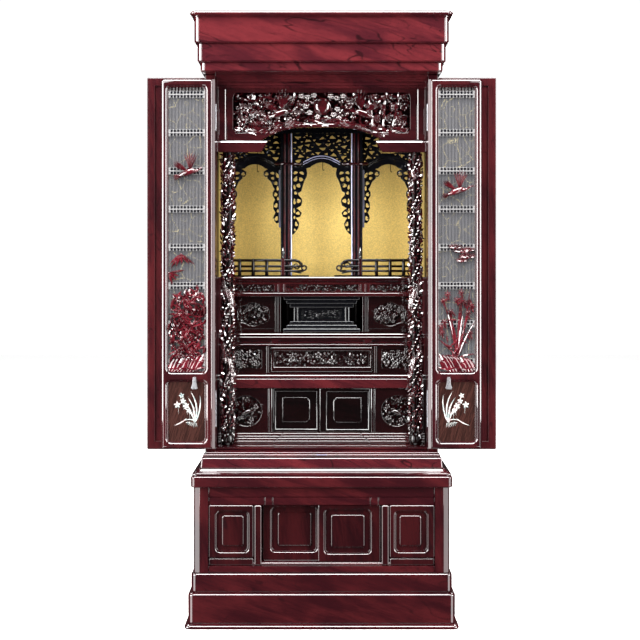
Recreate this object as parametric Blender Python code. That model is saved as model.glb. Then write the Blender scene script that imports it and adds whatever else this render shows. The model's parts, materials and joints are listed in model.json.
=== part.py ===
"""Floor-standing household altar: a rosewood cabinet with folding doors and a carved shrine.

Metres, +Z up, X to the right and Y to the back. The origin is on the floor, under the middle of
the outline. The doors stand open; each moving piece has its parent empty on its hinge or slide.
"""

import math

import bmesh
import bpy
from mathutils import Matrix, Vector

# Fit
GAP = 0.0003  # between pieces that touch
PLAY = 0.001  # between pieces that move past each other

# Plan of the cabinet
HALF = 0.333  # half the width over the side boards
SIDE = 0.029  # thickness of a side board
FRONT = -0.213  # front edge of the side boards
BACK = 0.300  # outer face of the back board
BACK_BOARD = 0.009
INNER = HALF - SIDE
WALL = BACK - BACK_BOARD  # inner face of the back board

# Plan of the base
BASE_OUT = 0.025  # how far the base stands out past the cabinet's sides
BASE_STEP = 0.073  # and past its front
PLINTH_OUT = 0.010  # how far the plinth runs past the back board
BASE_HALF = HALF + BASE_OUT
BASE_FRONT = FRONT - BASE_STEP
PLINTH_BACK = BACK + PLINTH_OUT
BOARD = 0.018  # base side boards
POST = 0.041  # corner post, square before its rounding
POST_ROUND = 0.030

# Heights of the base, one above the other
LIP_H = 0.011
PLINTH_LOW_H = 0.0862
PLINTH_TOP_H = 0.0545
BASE_H = 0.238
TOP_BOARD_H = 0.0335
TOP_SLOPE_H = 0.0162
SILL_H = 0.0287
PLINTH_Z = LIP_H + PLINTH_LOW_H + PLINTH_TOP_H
BODY_Z = PLINTH_Z + GAP
BODY_TOP = BODY_Z + BASE_H
SILL_Z = BODY_TOP + GAP + TOP_BOARD_H + TOP_SLOPE_H + GAP
SILL_TOP = SILL_Z + SILL_H

# Steps of the plinth and cornice mouldings, out from the board they belong to
STEP_TOP = 0.0065
STEP_LOW = 0.0145
STEP_LIP = 0.0240
STEP_BOARD = 0.0075
STEP_SILL = 0.0170  # the sill is this much narrower than the base
RIM = 0.003  # rounding of a moulding's edge
GROOVE = 0.001  # height of the line between two mouldings

# Front of the base
RAIL_TOP_H = 0.050
RAIL_TOP_UPPER_H = 0.023  # the upper band of the top rail, which stands proud of the lower one
RAIL_TOP_STEP = 0.004
RAIL_LOW_H = 0.0185
BLOCK_X = 0.148  # blocks on the top rail, over the ends of the sliding doors
BLOCK_W = 0.022
STILE_X = 0.1666  # inner edge of the fixed panels, where the sliding doors begin
FRAME_SET = 0.003  # the frame's face behind the corner posts
FRAME_T = 0.021
PANEL_FACE = 0.002  # the fixed panels' boards behind the frame's face
PANEL_IN = 0.0244  # moulding from the panel's inner edge
PANEL_OUT = 0.0067  # and from the corner post
PANEL_FOOT = 0.022
PANEL_FRAME_W = 0.014  # width of the moulding over the hollow
PANEL_FRAME_T = 0.010
PANEL_SUNK = 0.0075
SLIDE_SET = 0.007  # the front sliding door behind the frame's face
SLIDE_T = 0.012
TRACK_H = 0.008
SLIDE_LAP = 0.010  # how far each sliding door passes the middle

# Cabinet
CABINET_H = 1.0863
TRAY_T = 0.012
FLOOR_T = 0.007
FLOOR_RISE = 0.022  # top of the floor above the sill
FLOOR_TOP = SILL_TOP + FLOOR_RISE
CABINET_Z = SILL_TOP + GAP
CABINET_TOP = CABINET_Z + CABINET_H
CEILING_T = 0.0145

# Cornice
BAND_3_H = 0.0267
BAND_2_H = 0.0520
BAND_1_H = 0.0723
CORNICE_LIP_H = 0.0140
CORNICE_OUT = 0.0082  # the lowest band past the cabinet's sides
CORNICE_SET = 0.052  # and before its front
CORNICE_STEP = 0.0080
CORNICE_HALF = HALF + CORNICE_OUT
CORNICE_FRONT = FRONT - CORNICE_SET
CORNICE_WALL = 0.040
CORNICE_TOP_T = 0.012

# Doors
OUTER_T = 0.020
LATTICE_T = 0.018
OUTER_STILE = 0.0249
LEAF_STILE_HINGE = 0.0155
LEAF_STILE_MEET = 0.0254
LEAF_RAIL_TOP = 0.0190
LEAF_PANEL_TOP = 0.1925  # top of the lower panel above the leaf's foot
LEAF_MID_RAIL = 0.0226
LEAF_RAIL_LOW = 0.0174
LEAF_RADIUS = 0.008
DOOR_GAP = 0.005  # between the closed outer leaves and the closed lattice leaves
OUTER_FOOT = SILL_TOP + 0.0160
OUTER_HEAD = CABINET_TOP - 0.0084
LATTICE_FOOT = FLOOR_TOP + PLAY
LATTICE_HEAD = CABINET_TOP - 0.0189
SLAT = 0.0030
SLATS = 10

# Head of the inner room
TRANSOM_H = 0.1523
TRANSOM_SET = 0.029  # behind the front edge of the side boards
TRANSOM_T = 0.024
TRANSOM_FRONT = FRONT + TRANSOM_SET
HEAD_H = 0.0333
HEAD_SET = 0.0025
NAGESHI_H = 0.0325
NAGESHI_T = 0.0300
NAGESHI_OUT = 0.005  # proud of the transom
NAGESHI_L = 0.1474  # length along its top
MITRE = 0.0244
PILLAR_IN = 0.0326  # middle of a pillar from the side board
PILLAR_SET = 0.0465
PILLAR_X = INNER - PILLAR_IN
PILLAR_Y = FRONT + PILLAR_SET
PILLAR_R = 0.0165
DRAGON_R = 0.0070
DRAGON_TURNS = 3.5
DRAGON_CLOUDS = 5
FOOT_H = 0.0220
FOOT_R = 0.0215

# Tiers, from the floor up
RAILS_H = 0.0295
TIER_4_H = 0.131
SHELF_3_H = 0.038
TIER_3_H = 0.0825
SHELF_2_H = 0.0355
TIER_2_H = 0.1083
BAND_H = 0.042
SHELF_1_H = 0.0165
SHELF_T = 0.012
TIER_T = 0.012
RAILS_Z = FLOOR_TOP + GAP
TIER_4_Z = RAILS_Z + RAILS_H + GAP
SHELF_3_Z = TIER_4_Z + TIER_4_H + GAP
TIER_3_Z = SHELF_3_Z + SHELF_3_H + GAP
SHELF_2_Z = TIER_3_Z + TIER_3_H + GAP
TIER_2_Z = SHELF_2_Z + SHELF_2_H + GAP
BAND_Z = TIER_2_Z + TIER_2_H + GAP
SHELF_1_Z = BAND_Z + BAND_H + GAP
SHRINE_Z = SHELF_1_Z + SHELF_1_H

# Fronts of the tiers, behind the front edge of the side boards
RAILS_FRONT = FRONT + 0.071
TIER_4_FRONT = FRONT + 0.081
SHELF_3_FRONT = FRONT + 0.075
TIER_3_FRONT = FRONT + 0.123
SHELF_2_FRONT = FRONT + 0.113
TIER_2_FRONT = FRONT + 0.183
BAND_FRONT = FRONT + 0.168
SHELF_1_FRONT = FRONT + 0.163

# Boards and carvings of the tiers
NOSE = 0.003  # rounded step under a shelf's lip
FASCIA = 0.015  # thickness of a shelf's deeper front edge
RAILS_STEP = 0.002
RAILS_D = 0.040
CARVE_SHARE = 0.65  # how far into its board a carving is sunk
NEKODO_X = 0.1435  # where the small sliding doors begin
NEKODO_T = 0.008
NEKODO_LAP = 0.006
NEKODO_SET = 0.002
ROUND_IN = 0.0045  # middle of the round carving from the middle of its board
ROUND_R = 0.0423
CENTRE_HALF = 0.150  # half the width of the framed carving in the middle
CENTRE_FRAME_W = 0.012
CENTRE_SUNK = 0.130
SIDE_SUNK_IN = 0.028  # side carvings from the framed one
SIDE_SUNK_OUT = 0.041  # and from the side boards
DAIS_HALF = 0.118
DAIS_D = 0.138
DAIS_SET = 0.012
DAIS_STEP = 0.010
RELIEF_X = 0.1226
RELIEF_IN = 0.0073
RELIEF_HALF = (0.054, 0.030)
MOULD_H = 0.0149  # moulding under the carved band
MOULD_OUT = 0.005
BAND_SUNK = 0.008  # half the height of the band's carving

# Shrine
LINING_T = 0.002
LINING_FRONT = FRONT + 0.093
LINING = INNER - GAP - LINING_T  # inner face of the gold side walls
GOLD_T = 0.003
POST_X = 0.107
POST_Y = FRONT + 0.213
POST_W = 0.035
POST_D = 0.024
BEAM_H = 0.0153
BEAM_DROP = 0.112  # from the ceiling to the top of the beam
SCREEN_T = 0.008
ARCH_DROP = 0.068  # from the beam's foot to the top of an arch
ARCH_RISE = 0.026  # an arch over its feet
BRACKET_CENTRE = 0.2145  # length of the brackets of the middle bay
BRACKET_SIDE = 0.1785
BRACKET_CENTRE_W = 0.030
BRACKET_SIDE_W = 0.046
FRIEZE_RISE = 0.022  # middle of the frieze's openings over the arches
RAILING_Y = FRONT + 0.188
RAILING_D = 0.018
RAILING_END = 0.038
RAILING_POSTS = 4
RAILING_FIRST = 0.0327  # first post from the newel
RAILING_T = 0.005
RAIL = 0.003
RAIL_HEIGHTS = (0.018, 0.032, 0.050)
LEDGE_H = 0.009
NEWEL_X = 0.117
NEWEL_H = 0.090
NEWEL_R = 0.008
SCROLL_IN = 0.052  # ring of the scroll from the newel
SCROLL_R = 0.009
SCROLL_RISE = 0.007

ROUND = 12  # sides of a round piece
ARC = 4  # steps of a quarter turn

AXES = {
    "x": Matrix(((0, 0, 1), (1, 0, 0), (0, 1, 0))),
    "y": Matrix(((1, 0, 0), (0, 0, -1), (0, 1, 0))),
    "z": Matrix.Identity(3),
}


def new_collection(name):
    collection = bpy.data.collections.new(name)
    bpy.context.scene.collection.children.link(collection)
    return collection


for old in list(bpy.data.objects):
    bpy.data.objects.remove(old, do_unlink=True)
ALTAR = new_collection("household altar")
GUIDES = new_collection("guides")


# Materials

def finish(name, colour, roughness, metallic=0.0):
    material = bpy.data.materials.get(name)
    if material is None:
        material = bpy.data.materials.new(name)
        material.use_nodes = True
        shader = material.node_tree.nodes["Principled BSDF"]
        shader.inputs["Base Color"].default_value = (*colour, 1.0)
        shader.inputs["Roughness"].default_value = roughness
        shader.inputs["Metallic"].default_value = metallic
        material.diffuse_color = (*colour, 1.0)
    return material


def rosewood():
    return finish("rosewood", (0.170, 0.022, 0.030), 0.22)


def dark_rosewood():
    return finish("dark rosewood", (0.070, 0.012, 0.018), 0.25)


def black_lacquer():
    return finish("black lacquer", (0.012, 0.010, 0.012), 0.18)


def gold_leaf():
    return finish("gold leaf", (0.750, 0.520, 0.180), 0.45, 0.6)


def silver():
    return finish("silver metal", (0.750, 0.740, 0.700), 0.25, 1.0)


# Modelling helpers

def evaluated_mesh(obj):
    """The object's shape with its modifiers, welded and in world space."""
    bpy.context.view_layer.update()
    graph = bpy.context.evaluated_depsgraph_get()
    mesh = bpy.data.meshes.new_from_object(obj.evaluated_get(graph))
    bm = bmesh.new()
    bm.from_mesh(mesh)
    bmesh.ops.remove_doubles(bm, verts=bm.verts, dist=0.000002)
    bm.transform(obj.matrix_world)
    bmesh.ops.recalc_face_normals(bm, faces=bm.faces)
    bm.to_mesh(mesh)
    bm.free()
    return mesh


def scratch(mesh):
    obj = bpy.data.objects.new("shape", mesh)
    GUIDES.objects.link(obj)
    return obj


def from_bmesh(bm):
    bmesh.ops.recalc_face_normals(bm, faces=bm.faces)
    return from_bmesh_as_is(bm)


def from_bmesh_as_is(bm):
    mesh = bpy.data.meshes.new("shape")
    bm.to_mesh(mesh)
    bm.free()
    return scratch(mesh)


def as_mesh(obj):
    """Turns a curve object, or one with modifiers, into a plain mesh object."""
    made = scratch(evaluated_mesh(obj))
    bpy.data.objects.remove(obj, do_unlink=True)
    return made


def block(low, high):
    """A box between two corners, given in any order."""
    low, high = Vector(low), Vector(high)
    bm = bmesh.new()
    bmesh.ops.create_cube(bm, size=1.0)
    size = high - low
    bmesh.ops.scale(bm, vec=[abs(v) for v in size], verts=bm.verts)
    bmesh.ops.translate(bm, vec=(low + high) / 2, verts=bm.verts)
    return from_bmesh(bm)


def prism(axis, low, high, *outlines):
    """A flat outline, with any holes as further outlines, as thick as low to high along an axis."""
    curve = bpy.data.curves.new("outline", "CURVE")
    curve.dimensions = "2D"
    curve.fill_mode = "BOTH"
    curve.extrude = abs(high - low) / 2
    for points in outlines:
        spline = curve.splines.new("POLY")
        spline.points.add(len(points) - 1)
        for point, (u, v) in zip(spline.points, points):
            point.co = (u, v, 0.0, 1.0)
        spline.use_cyclic_u = True
    obj = bpy.data.objects.new("outline", curve)
    GUIDES.objects.link(obj)
    middle = [(low + high) / 2 if axis == name else 0.0 for name in "xyz"]
    obj.matrix_world = Matrix.Translation(middle) @ AXES[axis].to_4x4()
    return as_mesh(obj)


def tube(points, radius, sides=6):
    curve = bpy.data.curves.new("tube", "CURVE")
    curve.dimensions = "3D"
    curve.bevel_depth = radius
    curve.bevel_resolution = (sides - 4) // 2
    curve.use_fill_caps = True
    spline = curve.splines.new("POLY")
    spline.points.add(len(points) - 1)
    for point, place in zip(spline.points, points):
        point.co = (*place, 1.0)
    obj = bpy.data.objects.new("tube", curve)
    GUIDES.objects.link(obj)
    return as_mesh(obj)


def knob(centre, size, turn=0.0, facets=False):
    """A small swelling of carving, round or with facets, stretched to a size and turned about Y."""
    bm = bmesh.new()
    if facets:
        bmesh.ops.create_uvsphere(bm, u_segments=4, v_segments=2, radius=0.5)
    else:
        bmesh.ops.create_icosphere(bm, subdivisions=1, radius=0.5)
    bmesh.ops.scale(bm, vec=size, verts=bm.verts)
    bmesh.ops.rotate(bm, matrix=Matrix.Rotation(turn, 3, "Y"), verts=bm.verts)
    bmesh.ops.translate(bm, vec=centre, verts=bm.verts)
    return from_bmesh(bm)


def lathe(profile, centre, sides=ROUND):
    """A turned shape about a vertical axis, from radius and height pairs, bottom to top."""
    bm = bmesh.new()
    verts = [bm.verts.new((r, 0.0, z)) for r, z in profile]
    edges = [bm.edges.new(pair) for pair in zip(verts, verts[1:])]
    bmesh.ops.spin(
        bm, geom=verts + edges, cent=(0, 0, 0), axis=(0, 0, 1), angle=2 * math.pi, steps=sides
    )
    bmesh.ops.remove_doubles(bm, verts=bm.verts, dist=0.000002)
    bmesh.ops.translate(bm, vec=centre, verts=bm.verts)
    return from_bmesh(bm)


def panelled(low, high, steps, back=False):
    """A box whose front face, and back face if asked, steps in: pairs of an inset and a depth after it."""
    obj = block(low, high)
    bm = bmesh.new()
    bm.from_mesh(obj.data)
    for sign in (-1, 1) if back else (-1,):
        face = next(f for f in bm.faces if f.normal.y * sign > 0.9 and len(f.verts) == 4)
        for inset, depth in steps:
            bmesh.ops.inset_region(bm, faces=[face], thickness=inset, use_even_offset=True)
            bmesh.ops.translate(bm, vec=(0.0, -sign * depth, 0.0), verts=face.verts)
    bm.to_mesh(obj.data)
    bm.free()
    return obj


def stepped(levels, back):
    """A block extruded upwards in steps with a flat back: half width, front and height of each level."""
    bm = bmesh.new()
    bmesh.ops.create_grid(bm, x_segments=1, y_segments=1, size=1.0)
    top = bm.faces[:][0]
    place_corners(top.verts, levels[0], back)
    for number, level in enumerate(levels[1:]):
        made = bmesh.ops.extrude_face_region(bm, geom=[top])
        if number:
            bmesh.ops.delete(bm, geom=[top], context="FACES_ONLY")
        top = next(g for g in made["geom"] if isinstance(g, bmesh.types.BMFace))
        place_corners(top.verts, level, back)
    return from_bmesh(bm)


def place_corners(verts, level, back):
    half, front, z = level
    middle = sum(v.co.y for v in verts) / len(verts)
    for v in verts:
        v.co = (math.copysign(half, v.co.x), front if v.co.y < middle else back, z)


def join(shapes, operation="UNION"):
    """Adds shapes to the first one, or cuts them from it, and removes them."""
    first, others = shapes[0], shapes[1:]
    for other in others:
        boolean = first.modifiers.new("join", "BOOLEAN")
        boolean.operation = operation
        boolean.object = other
        boolean.solver = "EXACT"
    made = as_mesh(first)
    for other in others:
        bpy.data.objects.remove(other, do_unlink=True)
    return made


def heap(shapes):
    """Many small shapes that overlap each other, made one body in a single step with the first."""
    first, others = shapes[0], shapes[1:]
    bm = bmesh.new()
    for other in others:
        bm.from_mesh(other.data)
        bpy.data.objects.remove(other, do_unlink=True)
    crowd = from_bmesh_as_is(bm)
    boolean = first.modifiers.new("join", "BOOLEAN")
    boolean.operation = "UNION"
    boolean.object = crowd
    boolean.solver = "EXACT"
    boolean.use_self = True
    made = as_mesh(first)
    bpy.data.objects.remove(crowd, do_unlink=True)
    return made


def piece(name, shape, material, pivot=None, smooth=False):
    """Gives a shape its name, finish and place in the altar, under its pivot if it moves."""
    GUIDES.objects.unlink(shape)
    ALTAR.objects.link(shape)
    shape.name = name
    shape.data.name = name
    shape.data.materials.clear()
    shape.data.materials.append(material)
    if smooth:
        shape.data.shade_smooth()
        shape.data.set_sharp_from_angle(angle=math.radians(40))
    if pivot is not None:
        shape.parent = pivot
        shape.matrix_parent_inverse = pivot.matrix_world.inverted()
    return shape


def pivot_at(name, place, parent=None):
    empty = bpy.data.objects.new(name, None)
    ALTAR.objects.link(empty)
    empty.empty_display_size = 0.02
    empty.location = place
    bpy.context.view_layer.update()
    if parent is not None:
        empty.parent = parent
        empty.matrix_parent_inverse = parent.matrix_world.inverted()
        bpy.context.view_layer.update()
    return empty


# Outlines

def rectangle(x0, x1, z0, z1):
    return [(x0, z0), (x1, z0), (x1, z1), (x0, z1)]


def rounded(x0, x1, z0, z1, radius, steps=ARC):
    """A rectangle with rounded corners."""
    x0, x1 = min(x0, x1), max(x0, x1)
    points = []
    corners = ((x1, z0, -90), (x1, z1, 0), (x0, z1, 90), (x0, z0, 180))
    for x, z, start in corners:
        cx = x - math.copysign(radius, x - (x0 + x1) / 2)
        cz = z - math.copysign(radius, z - (z0 + z1) / 2)
        for i in range(steps + 1):
            angle = math.radians(start + 90 * i / steps)
            points.append((cx + radius * math.cos(angle), cz + radius * math.sin(angle)))
    return points


def oval(x, z, half_x, half_z, steps=ROUND, cusps=0, wave=0.0):
    """An oval, or with cusps the lobed opening of carved panels."""
    points = []
    for i in range(steps):
        angle = 2 * math.pi * i / steps
        swell = 1.0 + wave * math.cos(cusps * angle)
        points.append((x + half_x * swell * math.cos(angle), z + half_z * swell * math.sin(angle)))
    return points


# Base

def plinth_levels(step, z0, z1):
    half, front = BASE_HALF + step, BASE_FRONT - step
    return [(half, front, z0), (half, front, z1 - RIM), (half - RIM, front + RIM, z1 - GROOVE)]


def make_plinth():
    levels = plinth_levels(STEP_LIP, 0.0, LIP_H)
    levels += plinth_levels(STEP_LOW, LIP_H, LIP_H + PLINTH_LOW_H)
    levels += plinth_levels(STEP_TOP, LIP_H + PLINTH_LOW_H, PLINTH_Z)
    body = stepped(levels, PLINTH_BACK)
    room = BASE_HALF - POST
    hollow = block((-room, BASE_FRONT + POST, -LIP_H), (room, WALL - BOARD, PLINTH_Z + LIP_H))
    piece("plinth", join([body, hollow], "DIFFERENCE"), rosewood())


def make_base_boards():
    inside = BASE_HALF - BOARD
    front = BASE_FRONT + POST + GAP
    for side, word in ((-1, "left"), (1, "right")):
        board = block((side * inside, front, BODY_Z), (side * BASE_HALF, WALL - GAP, BODY_TOP))
        piece(f"base_side_{word}", board, rosewood())
    back = block((-BASE_HALF, WALL, BODY_Z), (BASE_HALF, BACK, BODY_TOP))
    piece("base_back", back, dark_rosewood())
    reach = inside - GAP
    floor = block((-reach, front, BODY_Z), (reach, WALL - GAP, BODY_Z + SHELF_T))
    piece("base_floor", floor, dark_rosewood())


def make_base_posts():
    for side, word in ((-1, "left"), (1, "right")):
        outer, front = side * BASE_HALF, BASE_FRONT
        inner = side * (BASE_HALF - POST)
        outline = [(inner, front), (inner, front + POST), (outer, front + POST)]
        for i in range(ARC + 1):
            angle = math.pi / 2 * i / ARC
            outline.append((
                side * (BASE_HALF - POST_ROUND * (1 - math.cos(angle))),
                front + POST_ROUND * (1 - math.sin(angle)),
            ))
        post = prism("z", BODY_Z, BODY_TOP, outline)
        piece(f"base_post_{word}", post, rosewood(), smooth=True)


FRAME_FRONT = BASE_FRONT + FRAME_SET
FRAME_BACK = FRAME_FRONT + FRAME_T
RAIL_TOP_Z = BODY_TOP - RAIL_TOP_H
RAIL_LOW_Z = BODY_Z + RAIL_LOW_H
TRACK_Z = RAIL_LOW_Z + TRACK_H
TRACK_FRONT = FRAME_FRONT + SLIDE_SET
TRACK_BACK = TRACK_FRONT + SLIDE_T + PLAY
TRACK_END = TRACK_BACK + SLIDE_T + PLAY


def make_base_rails():
    reach = BASE_HALF - POST - GAP
    split = BODY_TOP - RAIL_TOP_UPPER_H
    lower_front = FRAME_FRONT + RAIL_TOP_STEP
    upper = block((-reach, FRAME_FRONT, split), (reach, lower_front + RIM, BODY_TOP))
    lower = block((-reach, lower_front, RAIL_TOP_Z), (reach, TRACK_END, BODY_TOP - RIM))
    shapes = [lower, upper]
    for side in (-1, 1):
        x = side * BLOCK_X
        shapes.append(block(
            (x - BLOCK_W / 2, FRAME_FRONT + PLAY, RAIL_TOP_Z + RIM / 2),
            (x + BLOCK_W / 2, lower_front + RIM / 2, split + RIM),
        ))
    piece("base_rail_top", join(shapes), rosewood())
    rail = block((-reach, FRAME_FRONT, BODY_Z), (reach, FRAME_BACK, RAIL_LOW_Z))
    track = block(
        (-STILE_X, FRAME_FRONT + PLAY, RAIL_LOW_Z - RIM), (STILE_X, TRACK_END, TRACK_Z)
    )
    piece("base_rail_low", join([rail, track]), rosewood())


def make_base_panels():
    """The fixed framed panels beside the sliding doors."""
    outer = BASE_HALF - POST - GAP
    low, high = RAIL_LOW_Z + GAP, RAIL_TOP_Z - GAP
    frame_in, frame_out = STILE_X + PANEL_IN, outer - PANEL_OUT
    foot, head = low + PANEL_FOOT, high - RIM
    for side, word in ((-1, "left"), (1, "right")):
        board = block(
            (side * (STILE_X + PLAY), FRAME_FRONT + PANEL_FACE, low), (side * outer, FRAME_BACK, high)
        )
        ends = sorted((side * frame_in, side * frame_out))
        frame = panelled(
            (ends[0], FRAME_FRONT, foot), (ends[1], FRAME_FRONT + PANEL_FRAME_T, head),
            [(0.012, 0.0), (0.003, 0.006), (0.012, 0.0), (0.007, -0.005)],
        )
        cut = block(
            (ends[0] + PANEL_FRAME_W, FRAME_FRONT - PLAY, foot + PANEL_FRAME_W),
            (ends[1] - PANEL_FRAME_W, FRAME_FRONT + PANEL_SUNK, head - PANEL_FRAME_W),
        )
        hollowed = join([board, cut], "DIFFERENCE")
        piece(f"base_panel_{word}", join([hollowed, frame]), rosewood())


def make_base_doors():
    """Two framed doors that slide past each other, the right one in front."""
    low, high = TRACK_Z + PLAY / 2, RAIL_TOP_Z - PLAY / 2
    far = STILE_X - PLAY
    for side, word, front in ((-1, "left", TRACK_BACK), (1, "right", TRACK_FRONT)):
        ends = sorted((side * far, -side * SLIDE_LAP))
        pivot = pivot_at(f"slide of base door {word}", ((ends[0] + ends[1]) / 2, front, low))
        door = panelled(
            (ends[0], front, low), (ends[1], front + SLIDE_T, high),
            [(0.011, 0.0), (0.003, 0.005), (0.015, 0.0), (0.007, -0.004)],
        )
        piece(f"base_door_{word}", door, dark_rosewood(), pivot)


def make_base_top():
    z0 = BODY_TOP + GAP
    z1 = z0 + TOP_BOARD_H
    half, front = BASE_HALF + STEP_BOARD, BASE_FRONT - STEP_BOARD
    levels = [
        (half - RIM, front + RIM, z0),
        (half, front, z0 + RIM),
        (half, front, z1 - RIM),
        (half - RIM, front + RIM, z1),
        (half - 2 * RIM, front + 2 * RIM, z1 + TOP_SLOPE_H * 0.3),
        (BASE_HALF - STEP_SILL, BASE_FRONT + STEP_SILL, z1 + TOP_SLOPE_H),
    ]
    piece("base_top", stepped(levels, BACK), rosewood())


# Cabinet

def make_sill():
    half, front = BASE_HALF - STEP_SILL, BASE_FRONT + STEP_SILL + RIM
    levels = [(half, front, SILL_Z), (half, front, SILL_TOP - RIM), (half - RIM, front + RIM, SILL_TOP)]
    piece("cabinet_sill", stepped(levels, BACK), rosewood())


def make_cabinet_boards():
    for side, word in ((-1, "left"), (1, "right")):
        board = block((side * INNER, FRONT, CABINET_Z), (side * HALF, WALL - GAP, CABINET_TOP))
        piece(f"cabinet_side_{word}", board, rosewood())
    back = block((-HALF, WALL, CABINET_Z), (HALF, BACK, CABINET_TOP))
    piece("cabinet_back", back, dark_rosewood())
    reach = INNER - GAP
    floor = block((-reach, FRONT, FLOOR_TOP - FLOOR_T), (reach, WALL - GAP, FLOOR_TOP))
    piece("cabinet_floor", floor, rosewood())
    ceiling = block(
        (-reach, TRANSOM_FRONT + TRANSOM_T + GAP, CABINET_TOP - CEILING_T),
        (reach, WALL - GAP, CABINET_TOP),
    )
    piece("cabinet_ceiling", ceiling, dark_rosewood())


CORNICE_Z = CABINET_TOP + GAP


def make_cornice():
    levels = []
    z = CORNICE_Z
    bands = ((BAND_3_H, 0.0), (BAND_2_H, CORNICE_STEP), (BAND_1_H, 2 * CORNICE_STEP))
    for height, out in bands:
        half, front = CORNICE_HALF + out, CORNICE_FRONT - out
        levels += [
            (half - RIM, front + RIM, z),
            (half, front, z + RIM),
            (half, front, z + height - RIM),
            (half - RIM, front + RIM, z + height - GROOVE),
        ]
        z += height
    half, front = CORNICE_HALF + 3 * CORNICE_STEP, CORNICE_FRONT - 3 * CORNICE_STEP
    levels += [
        (half - RIM, front + RIM, z),
        (half + RIM, front - RIM, z + CORNICE_LIP_H * 0.35),
        (half + RIM, front - RIM, z + CORNICE_LIP_H * 0.75),
        (half, front, z + CORNICE_LIP_H),
    ]
    top = z + CORNICE_LIP_H
    body = stepped(levels, BACK)
    inside = CORNICE_HALF - CORNICE_WALL
    hollow = block(
        (-inside, CORNICE_FRONT + CORNICE_WALL, CORNICE_Z - RIM), (inside, WALL - RIM, top - CORNICE_TOP_T)
    )
    piece("cornice", join([body, hollow], "DIFFERENCE"), rosewood())


def make_head_rail():
    front, back = FRONT + HEAD_SET, TRANSOM_FRONT + TRANSOM_T
    outline = [
        (front, LATTICE_HEAD + 2 * PLAY),
        (TRANSOM_FRONT - RIM, LATTICE_HEAD + 2 * PLAY),
        (TRANSOM_FRONT - RIM, CABINET_TOP - HEAD_H),
        (back, CABINET_TOP - HEAD_H),
        (back, CABINET_TOP),
        (front, CABINET_TOP),
    ]
    reach = INNER - GAP
    piece("head_rail", prism("x", -reach, reach, outline), rosewood())


TRANSOM_TOP = CABINET_TOP - HEAD_H - GAP
TRANSOM_Z = TRANSOM_TOP - TRANSOM_H
LOBED_HALF = 0.177  # half the width of the arch under the transom
LOBED_RISE = 0.039
OPEN_IN = 0.0505  # carved opening from the side boards
OPEN_TOP = 0.0126  # solid wood above it
OPEN_LOW = 0.0220  # and below it
OPEN_KEEP = 0.010  # wood left along the arch
DISC_R = 0.021


def transom_edge(x):
    """Height of the transom's lower edge, a low lobed arch over the middle."""
    share = min(abs(x) / LOBED_HALF, 1.0)
    rise = LOBED_RISE * (1 - share ** 2.2)
    return TRANSOM_Z + rise * (1 + 0.10 * math.cos(5 * math.pi * share) * (1 - share))


def bird(x, y, z, size, facing):
    """A small flying bird in low relief: body, neck and tail."""
    back = -facing * size
    return [
        knob((x, y, z), (1.1 * size, 0.7 * size, 0.5 * size), -0.3 * facing),
        knob(
            (x + 0.1 * back, y, z + 0.42 * size), (0.45 * size, 0.6 * size, 1.1 * size), -0.5 * facing, True
        ),
        knob(
            (x + 0.55 * back, y, z - 0.12 * size), (size, 0.6 * size, 0.35 * size), 0.25 * facing, True
        ),
    ]


def transom_relief(centre, arch):
    """A disc among boughs, blossom and two birds, with bark along the arch."""
    middle = TRANSOM_FRONT + TRANSOM_T / 2
    y = middle - PLAY
    disc = oval(0.0, centre, DISC_R, DISC_R)
    relief = [prism("y", TRANSOM_FRONT + RIM, middle + 2 * RIM, disc)]
    for side in (-1, 1):
        relief += bird(side * 0.120, y, centre, 0.030, -side)
        for i in range(3):
            place = (side * (0.056 + 0.076 * i), y, centre + 0.026 * math.cos(math.pi * i))
            relief.append(knob(place, (0.042, 0.016, 0.020), 0.3 * side, True))
        for i in range(2):
            place = (side * (0.170 + 0.046 * i), y, centre - 0.036)
            relief.append(knob(place, (0.040, 0.016, 0.022), -0.2 * side, True))
        steps = [i / 4 for i in range(5)]
        bough = [
            (side * (0.030 + 0.205 * t), y, centre - 0.022 + 0.016 * math.sin(9 * t)) for t in steps
        ]
        relief.append(tube(bough, 0.0055, 4))
    bark = [(x, TRANSOM_FRONT + RIM, z + 0.008) for x, z in arch[::3]]
    relief.append(tube(bark, 0.0060, 4))
    return relief


def make_transom():
    reach, open_x = INNER - GAP, INNER - OPEN_IN
    steps = 12
    across = [LOBED_HALF * (1 - 2 * i / steps) for i in range(steps + 1)]
    arch = [(x, transom_edge(x)) for x in across]
    outline = [(-reach, TRANSOM_Z), (-reach, TRANSOM_TOP), (reach, TRANSOM_TOP), (reach, TRANSOM_Z)] + arch
    board = prism("y", TRANSOM_FRONT, TRANSOM_FRONT + TRANSOM_T, outline)
    low, high = TRANSOM_Z + OPEN_LOW, TRANSOM_TOP - OPEN_TOP
    upper = [p for p in rounded(-open_x, open_x, low, high, LEAF_RADIUS * 1.5) if p[1] > low + OPEN_LOW]
    kept = [(x, max(low, z + OPEN_KEEP)) for x, z in arch]
    opening = [(open_x, low)] + upper + [(-open_x, low)] + kept[::-1]
    cutter = prism("y", TRANSOM_FRONT - RIM, TRANSOM_FRONT + TRANSOM_T / 2 + RIM, opening)
    body = join([board, cutter], "DIFFERENCE")
    relief = transom_relief((low + high) / 2 + OPEN_KEEP, arch)
    piece("transom", heap([body] + relief), rosewood())


NAGESHI_TOP = TRANSOM_Z - GAP
NAGESHI_Z = NAGESHI_TOP - NAGESHI_H


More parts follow.
